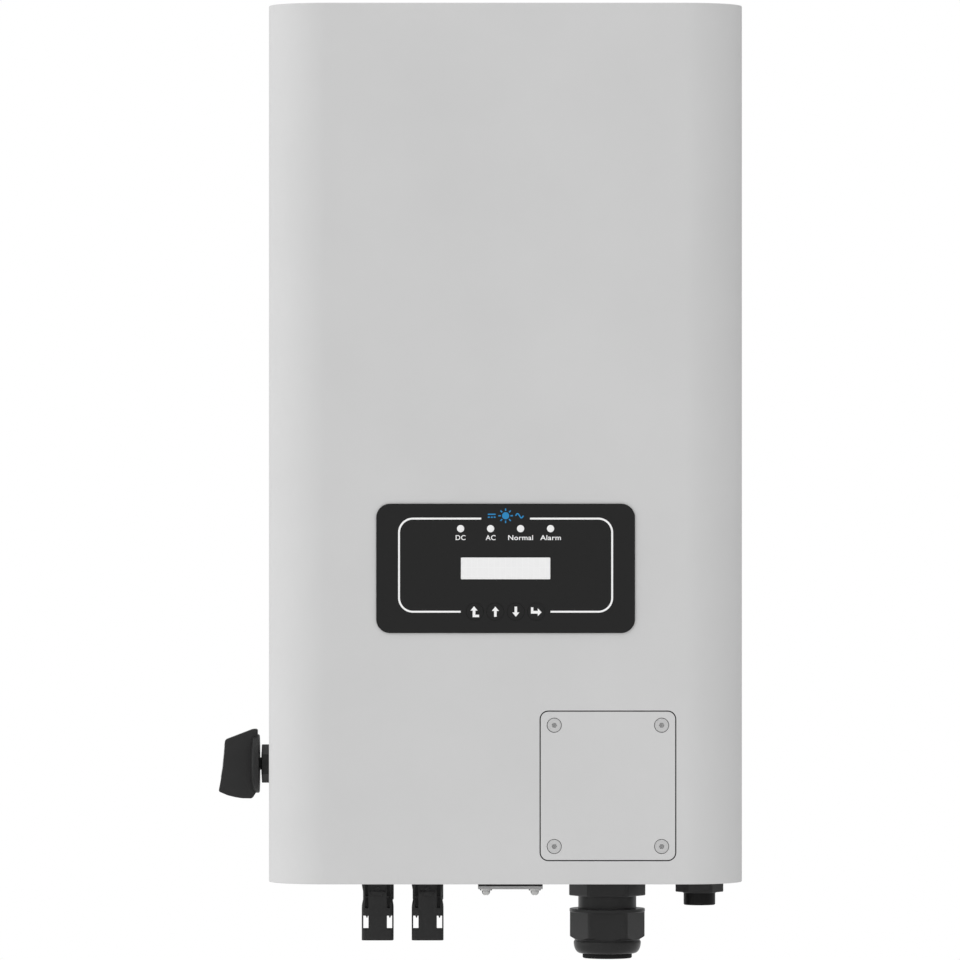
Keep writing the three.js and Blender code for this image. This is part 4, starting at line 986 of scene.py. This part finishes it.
# Soft keys: round spots of the same film on stems, each with a printed arrow.
up_arrow = [(0, 3.15), (2.2, 0.45), (0.8, 0.45), (0.8, -3.15), (-0.8, -3.15), (-0.8, 0.45),
            (-2.2, 0.45)]
back_arrow = [(-0.55, 3.4), (1.65, 0.7), (0.3, 0.7), (0.3, -1.9), (2.6, -1.9), (2.6, -3.4),
              (-1.4, -3.4), (-1.4, 0.7), (-2.75, 0.7)]
enter_arrow = [(-3.3, 2.7), (-1.8, 2.7), (-1.8, 0.5), (0.9, 0.5), (0.9, 2.1), (3.3, -0.35),
               (0.9, -2.8), (0.9, -1.2), (-3.3, -1.2)]
arrows = {"key_back": back_arrow, "key_up": up_arrow,
          "key_down": [(x, -y) for x, y in up_arrow], "key_enter": enter_arrow}
key_depth, key_stem, key_edge = 2.6, 2.0, 0.12
for node, arrow in arrows.items():
    x, z = key_centres[node]
    radius, back = key_diameter / 2, label_front - key_high.y
    cap = turned([(0, back), (key_stem, back), (key_stem, -key_depth), (radius, -key_depth),
                  (radius, -key_edge), (radius - key_edge, 0.0), (0, 0.0)])
    at = out_of_front(label_front, label_x + x, label_z + z)
    piece(node + "_cap", cap, label_film, "display_film", body=node, replaced=(node,), at=at)
    printed(node + "_arrow", [arrow], white_ink, body=node, at=at)

# ---------- Terminal cover ----------
# A machined aluminium lid let in flush over the terminals, coated like the shell, on a gasket and
# an aluminium frame. Four zinc-flake coated socket screws sit in clearance holes at its corners.

lid_screw_low, lid_screw_high = box_mm("terminal_screw_1")
lid_screw_trim, lid_screw_gap = 0.8, 0.3
lid_screw_head = lid_screw_high.x - lid_screw_low.x - lid_screw_trim
lid_screw_places = [(x, z) for x, _, z in map(centre, four_of("terminal_screw"))]
lid_holes = [circle(lid_screw_head + 2 * lid_screw_gap, x - cover_x, z - cover_z)
             for x, z in lid_screw_places]
lid = slab(
    rounded_rectangle(cover_width, cover_height, cover_corner, steps=12),
    cover_low.y - cover_high.y, 0, edge=0.3, holes=lid_holes)
piece("terminal_lid", lid, powder_coat, "cabinet_paint", replaced=("terminal_cover",),
      at=out_of_front(cover_low.y, cover_x, cover_z))
refinished("terminal_gasket", rubber)

# Anodised frame behind the joint, coloured near black as painted shade, so the joint reads as one
# thin dark line. The blasted texture is drawn 0.8 mm wide, coarser than it is.
frame_in_joint_shade = speckled("Black-anodised aluminium, bead blasted", "#121212", "#1b1b1b", 0.8,
                         Metallic=0.6, Roughness=0.6)
# The frame's near-black tones are painted shade for the joint round the lid.
refinished("terminal_frame", frame_in_joint_shade)

# Zinc-flake coat on the screws, baked on: a matt grey slightly darker than the cabinet's paint.
flake_coat = speckled("Zinc-flake coat on steel, matt", "#c4c4c4", "#cbcbcb", 0.8,
                      Metallic=0.2, Roughness=0.6)
lid_heads = grown("terminal_screw_heads", screw_tree, [
    (x, shell_low.y, z) for x, z in lid_screw_places], {
    "Head Diameter": lid_screw_head * MM, "Head Height": 2.5 * MM, "Chamfer": 0.35 * MM,
    "Socket Flats": 2.9 * MM, "Socket Depth": 2.2 * MM,
    "Facing": (math.radians(90), 0.0, 0.0), "Steel": flake_coat})
ridden(lid_heads, flake_coat, "screw_steel", smooth=30, replaced=four_of("terminal_screw"))

# ---------- Load-break switch ----------
# A rotary isolator whose bush passes through the left side under a hexagon nut. Its moulded knob
# has a domed skirt and a slanted grip bar, and turns with the shaft. All black polyamide.

# Glass-filled polyamide from a spark-eroded mould: near black, satin, with a fine even grain.
# The grain is drawn 0.8 mm wide, coarser than it is, so that it shows.
polyamide, tree, place = new_material("Polyamide, moulded black, fine grain")
grain = add_node(tree, "ShaderNodeTexNoise", {
    "Vector": place, "Scale": 1 / (0.8 * MM), "Detail": 3.0, "Roughness": 0.55})
flow = add_node(tree, "ShaderNodeTexNoise", {
    "Vector": place, "Scale": 1 / (12 * MM), "Detail": 1.0})
blacks = add_node(tree, "ShaderNodeValToRGB", {"Fac": flow.outputs["Fac"]},
                  ramp={0.0: "#1b1b1b", 1.0: "#212121"})
satin = add_node(tree, "ShaderNodeMapRange", {
    "Value": grain.outputs["Fac"], "To Min": 0.44, "To Max": 0.58})
bumps = add_node(tree, "ShaderNodeBump", {
    "Height": grain.outputs["Fac"], "Strength": 0.3, "Distance": 0.04 * MM})
shade(tree, Base_Color=blacks.outputs["Color"], Roughness=satin.outputs[0],
      Specular_IOR_Level=0.35, Normal=bumps.outputs["Normal"])

switch_side = out_of_left(shell_low.x, switch_y, switch_z)
switch_low, switch_high = box_mm("switch_shaft")
nut_low, nut_high = box_mm("switch_nut")
knob_low, knob_high = box_mm("switch_knob")
nut_flats = nut_high.y - nut_low.y
nut_back, nut_top = shell_low.x - nut_high.x, shell_low.x - nut_low.x
shaft_radius = (switch_high.z - switch_low.z) / 2
shaft_end = shell_low.x - switch_low.x
bush_radius, bush_gap = 8.0, 0.2


def hexagon(flats, corner=0.6):
    """A hexagon with two flats facing along Y and its corners rounded."""
    reach = (flats / 2 - corner) / math.cos(math.pi / 6)
    corners = [(turn, math.radians(turn)) for turn in range(0, 360, 60)]
    return [p for turn, a in corners for p in arc(
        reach * math.cos(a), reach * math.sin(a), corner, turn - 30, turn + 30, 6)]


panel_nut = slab(hexagon(nut_flats), nut_back, nut_top, edge=0.5,
                 holes=[circle(2 * (bush_radius + bush_gap))])
piece("switch_panel_nut", panel_nut, polyamide, "black_polyamide", replaced=("switch_nut",),
      at=switch_side)
bush = turned([(shaft_radius + 0.3, nut_back - 8), (bush_radius, nut_back - 8),
               (bush_radius, nut_top - 0.3), (bush_radius - 0.5, nut_top + 0.2),
               (shaft_radius + 0.5, nut_top + 0.2), (shaft_radius + 0.3, nut_top - 0.2)])
piece("switch_bush", bush, polyamide, "black_polyamide", at=switch_side)
shaft_start = nut_back - 25
shaft = turned([(0, shaft_start), (shaft_radius, shaft_start), (shaft_radius, shaft_end),
                (0, shaft_end)])
piece("switch_spindle", shaft, polyamide, "black_polyamide", body="dc_switch",
      replaced=("switch_shaft",), at=switch_side)

skirt_back = shell_low.x - knob_high.x
skirt_front = skirt_back + 3.8
skirt_radius, socket_radius, dome_rise, dome_steps = 18.4, 4.6, 2.2, 10
grip_reach = shell_low.x - knob_low.x
grip_half = 6.0
dome = [(skirt_radius * math.cos(a) - 0.15, skirt_front + dome_rise * math.sin(a) ** 1.2)
        for a in (math.radians(90 * i / dome_steps) for i in range(dome_steps))]
skirt = turned([(0, skirt_back + 1), (socket_radius, skirt_back + 1), (socket_radius, skirt_back),
                (skirt_radius - 0.5, skirt_back), (skirt_radius, skirt_back + 0.5),
                (skirt_radius, skirt_front - 0.25), *dome, (0, skirt_front + dome_rise)], steps=96)
grip_outline = [
    (-18.2, skirt_back + 2.2), (-21.8, skirt_front + 0.7), (-21.7, grip_reach - 14.8),
    (-21.0, grip_reach - 10.4), (-19.8, grip_reach - 5.6), (-17.4, grip_reach),
    (-11.0, grip_reach - 1.2), (-1.5, grip_reach - 2.7), (8.0, grip_reach - 3.6),
    (15.1, grip_reach - 4.0), (21.8, skirt_front + 0.5), (21.8, skirt_back + 1.2),
    (10.0, skirt_back + 1.2)]


def smoothed(points):
    """Cuts each corner of a closed outline twice, so that it reads as one moulded curve."""
    for cut in (0.7, 0.25):
        points = [Vector(p) for p in points]
        points = [p + (q - p).normalized() * cut for i, p in enumerate(points)
                  for q in (points[i - 1], points[(i + 1) % len(points)])]
    return points


grip = slab(smoothed(grip_outline), -grip_half, grip_half, edge=0.5, steps=4)
moved(grip, out_of_front())
piece("switch_handle", carved(skirt, grip, operation="UNION"), polyamide, "black_polyamide",
      body="dc_switch", replaced=("switch_knob",), at=switch_side, smooth=30)
refinished("switch_body", polyamide)

# A white pad-printed line along the grip's outer face shows which way the knob points.
mark_width, mark_half = 0.5, 0.8
mark_path = [(-9.0, grip_reach - 1.35), (-1.5, grip_reach - 2.5), (8.0, grip_reach - 3.4),
             (13.0, grip_reach - 3.75)]
mark = slab(stroke(mark_path, mark_width), -mark_half, mark_half, edge=0)
moved(mark, out_of_front())
piece("switch_pointer", mark, white_ink, "black_polyamide", body="dc_switch", at=switch_side)

# ---------- Direct-current connectors ----------
# Panel receptacles for solar cables, two of each polarity, moulded in black polyamide and held by
# nuts inside. The front pair are hollow with latch windows, the rear pair have noses and latches.

# Tin-plated copper contacts, bright but slightly matt, a pale warm silver.
tin_plate = speckled("Tin-plated copper, matt", "#b9b5ac", "#cbc8c0", 0.8,
                     Metallic=1.0, Roughness=0.38)

plate_face = box_mm("bottom_plate")[0].z
connector_depth, connector_corner = 15.6, 2.4
connector_front = connector_depth / 2
plate_play = 0.3
waist_depth, waist_start, waist_length, waist_steps = 1.05, 2.8, 15.6, 12
rim_height, rim_inset = 0.3, 0.2
housing_extra, housing_short = 0.6, 0.2


def connector_outline(width, depth=connector_depth, corner=connector_corner):
    return rounded_rectangle(width, depth, corner, steps=6)


def waisted(width, length, z):
    """Width of a plus housing at one height: drawn in at its waist and at its two rims."""
    along = min(max(z - waist_start, 0) / waist_length, 1)
    rims = 2 * rim_inset if z in (plate_play, length) else 0.0
    return width - 2 * waist_depth * math.sin(math.pi * along) ** 2 - rims


def stacked(sections):
    """A closed solid through outlines with equal numbers of points, at rising heights."""
    bm = bmesh.new()
    rings = [[bm.verts.new((*point, z)) for point in outline] for z, outline in sections]
    for below, above in zip(rings, rings[1:]):
        for i in range(len(below)):
            bm.faces.new((below[i - 1], below[i], above[i], above[i - 1]))
    bm.faces.new(rings[0][::-1])
    bm.faces.new(rings[-1])
    return bm


def depth_up(bm):
    """Local Y and Z change places, and the faces are turned out again."""
    moved(bm, Matrix(((1, 0, 0, 0), (0, 0, 1, 0), (0, 1, 0, 0), (0, 0, 0, 1))))
    bmesh.ops.recalc_face_normals(bm, faces=bm.faces)
    return bm


# A plus housing has a waist, four grooves and a band on its front, and two latch windows below that
# go through from front to back. The contact's barrel stands in the hollow, short of the rim.
groove_x, groove_half, groove_depth = 6.8, 1.0, 3.2
groove_spans = ((-1, 11.3), (11.9, 18.6))
band_half, band_depth, band_span = 5.2, 0.9, (5.0, 8.6)
latch_near, latch_far, latch_span = 5.7, 9.1, (23.3, 31.9)
hollow_start, hollow_side, hollow_front, hollow_corner = 22.0, 0.6, 1.6, 2.0
barrel_outer, barrel_sunk, bore_start = 5.4, 1.5, 24.5
bore_radius, mouth_radius = 3.0, 3.6
boss_rise, boss_outer = 6.3, 1.5
contact_bore, contact_outer = 1.7, 2.4
reach, tool_edge = 1, 0.05
for number in (1, 2):
    node = f"dc_connector_plus_{number}"
    low, high = box_mm(node)
    width = high.x - low.x + housing_extra
    length = plate_face - low.z - housing_short
    at = out_of_bottom(*centre(node)[:2], plate_face)
    front, end = connector_front, length + reach
    heights = [plate_play, plate_play + 0.4,
               *[waist_start + waist_length * i / waist_steps for i in range(waist_steps + 1)],
               length - rim_height, length]
    body = stacked([(z, connector_outline(waisted(width, length, z))) for z in heights])
    grooves = [
        block(side * groove_x - groove_half, side * groove_x + groove_half,
              front - groove_depth, front + reach, *span, tool_edge)
        for side in (-1, 1) for span in groove_spans]
    band = block(-band_half, band_half, front - band_depth, front + reach, *band_span, tool_edge)
    windows = [
        block(*sorted((side * latch_near, side * latch_far)), -front - reach, front + reach,
              *latch_span, tool_edge) for side in (-1, 1)]
    mouth = turned([
        (0, bore_start), (bore_radius - 0.3, bore_start), (bore_radius, bore_start + 0.3),
        (bore_radius, length - 2.0), (mouth_radius, length - 1.2), (mouth_radius, end),
        (0, end)], steps=40)
    hollow = slab(
        connector_outline(width - 2 * hollow_side, connector_depth - 2 * hollow_front,
                          hollow_corner),
        hollow_start, end, edge=tool_edge, holes=[circle(2 * barrel_outer)])
    shortened = turned([(0, length - barrel_sunk), (barrel_outer + 0.2, length - barrel_sunk),
                        (barrel_outer + 0.2, end), (0, end)])
    body = carved(body, *grooves, band, *windows, hollow, mouth, shortened)
    piece(node + "_housing", body, polyamide, "black_polyamide", replaced=(node,), at=at,
          edge=0.12, edge_angle=60)
    boss = turned([
        (0, front - 1), (boss_outer, front - 1), (boss_outer, front + 0.05), (1.1, front + 0.25),
        (0.85, front + 0.25), (0.75, front + 0.02), (0, front + 0.02)], steps=32)
    moved(boss, Matrix(((1, 0, 0, 0), (0, 0, 1, 0), (0, -1, 0, boss_rise), (0, 0, 0, 1))))
    lip = depth_up(slab([(-4.6, 7.9), (4.6, 7.9), (2.7, 10.6), (-2.7, 10.6)],
                        front - 1, front + 0.45, edge=0.4))
    piece(node + "_marks", together(boss, lip), polyamide, "black_polyamide", at=at)
    contact = turned([
        (contact_bore, 25), (contact_outer, 25), (contact_outer, length - 4),
        (contact_outer - 0.3, length - 3.6), (contact_bore + 0.2, length - 3.6),
        (contact_bore, length - 4)], steps=32)
    piece(node + "_contact", contact, tin_plate, "screw_steel", at=at)

# A minus housing has a slotted nose round its pin and a latch arm on each side of it.
foot = 15.3
nose_outer, nose_socket, nose_bore = 4.7, 4.2, 2.5
slot_half, slot_reach, slot_length = 0.4, 6, 9
arm_inner, arm_outer, arm_half, arm_length = 6.55, 7.95, 3, 11.6
pin_radius, pin_tip = 1.5, 0.9
for number in (1, 2):
    node = f"dc_connector_minus_{number}"
    low, high = box_mm(node)
    nose_end = plate_face - low.z
    at = out_of_bottom(*centre(node)[:2], plate_face)
    base = slab(connector_outline(high.x - low.x), plate_play, foot, edge=0.5)
    nose = turned([
        (nose_bore, foot + 2), (nose_bore, nose_end - 0.3), (nose_bore + 0.3, nose_end),
        (nose_outer - 0.4, nose_end), (nose_outer, nose_end - 0.8), (nose_outer, foot - 1),
        (nose_socket, foot - 1), (nose_socket, foot + 2)], steps=48)
    slots = [
        moved(block(-slot_half, slot_half, -slot_reach, slot_reach, nose_end - slot_length,
                    nose_end + 1), Matrix.Rotation(math.radians(turn), 4, "Z"))
        for turn in (30, 90, 150)]
    nose = carved(nose, *slots)
    arms = [
        depth_up(slab([
            (side * arm_inner, foot - 1), (side * arm_outer, foot - 1),
            (side * arm_outer, foot + 10.2), (side * (arm_outer - 0.5), foot + arm_length),
            (side * (arm_inner + 0.45), foot + arm_length), (side * arm_inner, foot + 10.2)],
            -arm_half, arm_half, edge=0.1))
        for side in (-1, 1)]
    piece(node + "_housing", together(base, nose, *arms), polyamide, "black_polyamide",
          replaced=(node,), at=at, edge=0.1, edge_angle=60)
    pin = turned([(0, foot - 1), (pin_radius, foot - 1), (pin_radius, nose_end - 5),
                  (pin_tip, nose_end - 4), (0, nose_end - 3.8)], steps=32)
    piece(node + "_contact", pin, tin_plate, "screw_steel", at=at)

# ---------- Communications cover ----------
# A painted steel lid with plain edges on a thick rubber gasket, held by four stainless screws
# with captive washers and cross recesses.

comms_low, comms_high = box_mm("comms_cover")
gasket_low, gasket_high = box_mm("comms_gasket")
comms_x, comms_y, _ = centre("comms_cover")
comms_width, comms_depth = comms_high.x - comms_low.x, comms_high.y - comms_low.y
bolt_plan = [(x, y) for x, y, _ in map(centre, four_of("comms_screw"))]
on_plate = out_of_bottom(comms_x, comms_y, plate_face)
bolt_hole = 3.6
bolt_holes = [circle(bolt_hole, x - comms_x, comms_y - y, steps=24) for x, y in bolt_plan]

# Epoxy-painted steel, mid grey, with a slight orange peel 1.2 mm wide.
steel_paint = speckled("Epoxy paint on steel, mid grey", "#a4a4a4", "#aaaaaa", 1.2, (0.2, 0.05),
                       Roughness=0.5, Specular_IOR_Level=0.35)

lid_back, lid_face = plate_face - comms_high.z, plate_face - comms_low.z
lid_outline = rounded_rectangle(comms_width, comms_depth, 1.2, steps=6)
lid_slab = slab(lid_outline, lid_back, lid_face, edge=0.3, holes=bolt_holes)
piece("comms_lid", lid_slab, steel_paint, "cover_steel", replaced=("comms_cover",), at=on_plate)
pad_rim = 10
inner_window = rounded_rectangle(comms_width - 2 * pad_rim, comms_depth - 2 * pad_rim, 3)
pad = slab(lid_outline, plate_face - gasket_high.z, plate_face - gasket_low.z, edge=0.15,
           holes=[inner_window, *bolt_holes])
piece("comms_pad", pad, rubber, "rubber_seal", replaced=("comms_gasket",), at=on_plate)

# Stainless steel, cold headed and tumbled: bright warm grey with a soft even sheen.
stainless, tree, place = new_material("Stainless steel, tumbled")
scuffs = add_node(tree, "ShaderNodeTexNoise", {
    "Vector": place, "Scale": 1 / (0.9 * MM), "Detail": 3.0})
steels = add_node(tree, "ShaderNodeValToRGB", {"Fac": scuffs.outputs["Fac"]},
                  ramp={0.0: "#b4b4b3", 1.0: "#cacac9"})
sheen = add_node(tree, "ShaderNodeMapRange", {
    "Value": scuffs.outputs["Fac"], "To Min": 0.2, "To Max": 0.32})
shade(tree, Base_Color=steels.outputs["Color"], Metallic=1.0, Roughness=sheen.outputs[0])

bolt_top = plate_face - box_mm("comms_screw_1")[0].z
bolt_seat = lid_face + 0.05
bolt_shank, washer_radius, bolt_radius = 1.5, 3.75, 2.55
washer_top, dome_height = bolt_seat + 0.9, 2.2
bolt_dome = bolt_top - dome_height
bolt = turned([
    (0, bolt_seat - 8), (bolt_shank, bolt_seat - 8), (bolt_shank, bolt_seat),
    (washer_radius, bolt_seat), (washer_radius, washer_top - 0.15),
    (washer_radius - 0.15, washer_top), (bolt_radius - 0.1, washer_top),
    (bolt_radius, washer_top + 0.2), (bolt_radius, bolt_dome),
    *[(bolt_radius * math.cos(a), bolt_dome + dome_height * math.sin(a))
      for a in (math.radians(12 * i) for i in range(1, 7))], (0, bolt_top)], steps=48)
cross_half, cross_reach, cross_depth = 0.45, 1.5, 1.3
cross = [block(-x, x, -y, y, bolt_top - cross_depth, bolt_top + 1)
         for x, y in ((cross_half, cross_reach), (cross_reach, cross_half))]
set_out_on("comms_bolts", carved(bolt, *cross), [(x, y, plate_face) for x, y in bolt_plan],
           (180, 0, 0), stainless, "screw_steel", replaced=four_of("comms_screw"))

# ---------- Cable gland ----------
# A size 32 gland of black polyamide for the mains cable: a hexagon flange and neck in the bottom
# plate, a rubber insert, and a dome nut that squeezes the insert round the cable.

gland_low, gland_high = box_mm("gland_body")
dome_low, dome_high = box_mm("gland_nut")
gland_at = out_of_bottom(*centre("gland_body")[:2], plate_face)
flange_flats, flange_end = gland_high.y - gland_low.y, 11.9
dome_flats, dome_top, dome_end = 41.4, plate_face - dome_high.z, plate_face - dome_low.z
neck_radius, gland_bore, neck_end = 18.25, 12.5, 34.0
seal_radius, seal_end, cable_radius = 15.5, plate_face - box_mm("gland_seal")[0].z, 9.0

# Smooth moulded polyamide of the gland: a little glossier than the grained parts beside it.
gland_nylon, tree, place = new_material("Polyamide, moulded black, smooth")
flow = add_node(tree, "ShaderNodeTexNoise", {"Vector": place, "Scale": 1 / (9 * MM), "Detail": 2.0})
blacks = add_node(tree, "ShaderNodeValToRGB", {"Fac": flow.outputs["Fac"]},
                  ramp={0.0: "#242424", 1.0: "#2a2a2a"})
satin = add_node(tree, "ShaderNodeMapRange", {
    "Value": flow.outputs["Fac"], "To Min": 0.26, "To Max": 0.36})
bumps = add_node(tree, "ShaderNodeBump", {
    "Height": flow.outputs["Fac"], "Strength": 0.15, "Distance": 0.1 * MM})
shade(tree, Base_Color=blacks.outputs["Color"], Roughness=satin.outputs[0],
      Specular_IOR_Level=0.22, Normal=bumps.outputs["Normal"])

flange = slab(hexagon(flange_flats, 3.2), plate_play, flange_end, edge=0.7)
neck = turned([(gland_bore, 0.5), (neck_radius, 0.5), (neck_radius, neck_end - 0.6),
               (neck_radius - 0.6, neck_end), (gland_bore + 0.5, neck_end),
               (gland_bore, neck_end - 0.5)], steps=96)
bore = turned([(0, -2), (gland_bore, -2), (gland_bore, 14), (0, 14)])
piece("gland_flange", carved(carved(flange, neck, operation="UNION"), bore), gland_nylon,
      "gland_polyamide", replaced=("gland_body",), at=gland_at, smooth=30)

# The dome nut: a hexagon turned down to a round collar above and to its flats below, and a dome
# that narrows to the mouth.
nut_corner, nut_flat, collar_height = 23.4, dome_flats / 2, 2.2
corner_end, flat_end, hexagon_end = 37.1, 39.2, 39.8
hex_profile = turned([
    (0, dome_top + 0.2), (nut_corner + 0.6, dome_top + 0.2), (nut_corner + 0.6, corner_end),
    (nut_corner, corner_end + 0.4), (nut_flat, flat_end), (nut_flat - 0.3, hexagon_end),
    (0, hexagon_end)], steps=96)
nut_collar = turned([
    (0, dome_top), (nut_corner, dome_top), (nut_corner + 0.3, dome_top + 0.3),
    (nut_corner + 0.3, dome_top + collar_height - 0.3), (nut_corner, dome_top + collar_height),
    (0, dome_top + collar_height)], steps=96)
hex_part = slab(hexagon(dome_flats, 2.6), dome_top - 1, hexagon_end + 1.2, edge=0.3)
hex_part = carved(hex_part, hex_profile, operation="INTERSECT")
hex_part = carved(hex_part, nut_collar, operation="UNION")
dome_radius, dome_mouth, dome_start, dome_steps = 21.15, 16.2, 41.0, 9
dome_part = turned([
    (0, flat_end - 0.7), (nut_flat - 0.25, flat_end - 0.7), (nut_flat - 0.25, flat_end + 0.7),
    (dome_radius - 0.2, dome_start - 0.6),
    *[(dome_mouth + (dome_radius - dome_mouth) * math.cos(a) ** 0.8,
       dome_start + (dome_end - dome_start) * math.sin(a))
      for a in (math.radians(90 * i / dome_steps) for i in range(dome_steps + 1))],
    (0, dome_end)], steps=96)
thread_radius, mouth_hole = neck_radius + 0.35, dome_mouth - 0.3
hollow = turned([
    (0, dome_top - 1), (thread_radius, dome_top - 1), (thread_radius, dome_end - 3.0),
    (mouth_hole, dome_end - 1.6), (mouth_hole, dome_end + 1), (0, dome_end + 1)], steps=96)
piece("gland_dome_nut", carved(carved(hex_part, dome_part, operation="UNION"), hollow),
      gland_nylon, "gland_polyamide", body="gland_nut", replaced=("gland_nut",), at=gland_at,
      smooth=26, edge=0.2, edge_angle=50)

# Insert with three soft ribs round the cable's bore, 5.6 mm apart.
rib_radius, rib_height, rib_step = cable_radius + 0.6, 0.6, 1.4
ribs = [(rib_radius + rib_height * math.cos(math.pi * i / 2), seal_end - 0.9 - i * rib_step)
        for i in range(12)]
insert = turned([
    (seal_radius + 1.5, neck_end + 0.4), (seal_radius + 1.5, dome_end - 3.6),
    (seal_radius, dome_end - 2.4), (seal_radius, seal_end - 0.5), (seal_radius - 0.5, seal_end),
    (cable_radius + 1.6, seal_end), *ribs, (cable_radius + 1.2, neck_end - 1),
    (gland_bore - 0.4, neck_end - 1), (gland_bore - 0.4, neck_end + 0.4)], steps=72)
piece("gland_insert", insert, rubber, "rubber_seal", replaced=("gland_seal",), at=gland_at,
      smooth=50)
refinished("gland_locknut", gland_nylon)

# ---------- Communications port ----------
# A round panel socket with a hexagon flange, a smooth barrel that takes a locking plug, and five
# gilt pins round a moulded insert.

port_low, port_high = box_mm("port_body")
port_x, port_y, _ = centre("port_body")
port_at = out_of_bottom(port_x, port_y, plate_face)
port_flats, port_end = port_high.y - port_low.y, plate_face - port_low.z
barrel_radius, port_bore, port_floor = 9.95, 7.4, 6.0
port_flange_end, collar_radius, pin_circle = 9.6, 10.55, 4.0

# Thermoplastic polyester of the port, deep black with a soft even sheen.
port_black = speckled("Polyester moulding, deep black", "#070707", "#0c0c0c", 0.8, (0.2, 0.03),
                      Roughness=0.45, Specular_IOR_Level=0.18)

collar = turned([(port_bore + 0.5, port_flange_end - 1), (collar_radius, port_flange_end - 1),
                 (collar_radius, port_flange_end + 0.4),
                 (collar_radius - 0.25, port_flange_end + 0.6),
                 (port_bore + 0.5, port_flange_end + 0.6)])
port_flange = slab(hexagon(port_flats, 1.0), plate_play, port_flange_end, edge=0.5)
port_hole = turned([(0, port_floor), (port_bore, port_floor), (port_bore, 12), (0, 12)])
port_top = carved(carved(port_flange, collar, operation="UNION"), port_hole)
piece("port_flange", port_top, polyamide, "port_plastic", at=port_at, smooth=30)
barrel = turned([
    (port_bore, port_floor + 0.2), (barrel_radius, port_floor + 0.2),
    (barrel_radius, port_end - 0.5), (barrel_radius - 0.5, port_end),
    (port_bore + 0.5, port_end), (port_bore, port_end - 0.5)], steps=96)
ridge = block(-1.0, 1.0, -port_bore - 0.4, -port_bore + 1.0, port_floor + 1, port_end - 1.2, 0.2)
piece("port_barrel", carved(barrel, ridge, operation="UNION"), port_black, "port_plastic",
      replaced=("port_body",), at=port_at, smooth=30)
core_face = port_floor + 4
core = turned([(0, port_floor + 0.3), (port_bore - 0.3, port_floor + 0.3),
               (port_bore - 0.3, core_face - 0.3), (port_bore - 0.6, core_face), (0, core_face)])
piece("port_core", core, port_black, "port_plastic", replaced=("port_insert",), at=port_at)
pin_length, pin_radius = port_end - 2.9 - core_face, 0.8
pin = turned([(0, 0), (pin_radius, 0), (pin_radius, pin_length - 0.7), (0.5, pin_length - 0.1),
              (0, pin_length)], steps=24)

# Gilt contact pins, a thin gold flash over nickel.
gilt = speckled("Gold flash on nickel", "#c69c4e", "#d8b062", 0.8, Metallic=1.0, Roughness=0.3)
pin_places = [
    (port_x + pin_circle * math.cos(math.radians(72 * i)),
     port_y - pin_circle * math.sin(math.radians(72 * i)), plate_face - core_face + 0.2)
    for i in range(5)]
set_out_on("port_pins", pin, pin_places, (180, 0, 0), gilt, "port_plastic")
refinished("port_locknut", zinc_plate)

# ---------- Inside the cabinet ----------
# What the closed cabinet hides: boards, capacitors, wound inductors, terminals, nuts and sockets.
# Their CAD shapes stay, each with the finish of what it is.

# Glass-epoxy laminate under green solder resist; the weave shows as squares 1 mm wide.
board_green, tree, place = new_material("Glass-epoxy board, green resist")
weave = add_node(tree, "ShaderNodeTexChecker", {
    "Vector": place, "Scale": 1 / (1 * MM), "Color1": linear("#1f5a34"),
    "Color2": linear("#23623a")})
shade(tree, Base_Color=weave.outputs["Color"], Roughness=0.4)

# The terminals' and the module's nylon is a plain mid grey, and the capacitors' sleeve dark and
# slightly glossy.
grey_nylon = speckled("Polyamide, moulded grey", "#85888b", "#8f9295", 1.0, Roughness=0.55)
sleeve = speckled("Heat-shrink sleeve, dark", "#202328", "#282b31", 3.0, Roughness=0.35)

# Enamelled winding wire: a brown-red gloss, with turns drawn 3 mm apart, coarser than they are, as
# bands of painted shade and painted highlight on the one copper colour.
enamel, tree, place = new_material("Enamelled copper wire, wound")
turns = add_node(tree, "ShaderNodeTexWave", {"Vector": place, "Scale": 1 / (10 * MM)},
                 bands_direction="X")
# The dark and light copper stops are painted shade and painted highlight of the round turns.
copper_bands_lit_and_shaded = add_node(tree, "ShaderNodeValToRGB", {"Fac": turns.outputs["Fac"]},
                   ramp={0.0: "#7c4218", 1.0: "#b06a32"})
shade(tree, Base_Color=copper_bands_lit_and_shaded.outputs["Color"], Metallic=0.6, Roughness=0.35)

inner_finishes = {
    grey_nylon: ("display_module", "terminal_block"),
    board_green: ("display_board", "power_board"),
    sleeve: ("capacitor_bank",),
    enamel: ("inductor_1", "inductor_2"),
    port_black: ("comms_socket",),
    polyamide: ("dc_locknut_plus_1", "dc_locknut_plus_2", "dc_locknut_minus_1",
                "dc_locknut_minus_2")}
for material, nodes in inner_finishes.items():
    for node in nodes:
        refinished(node, material)
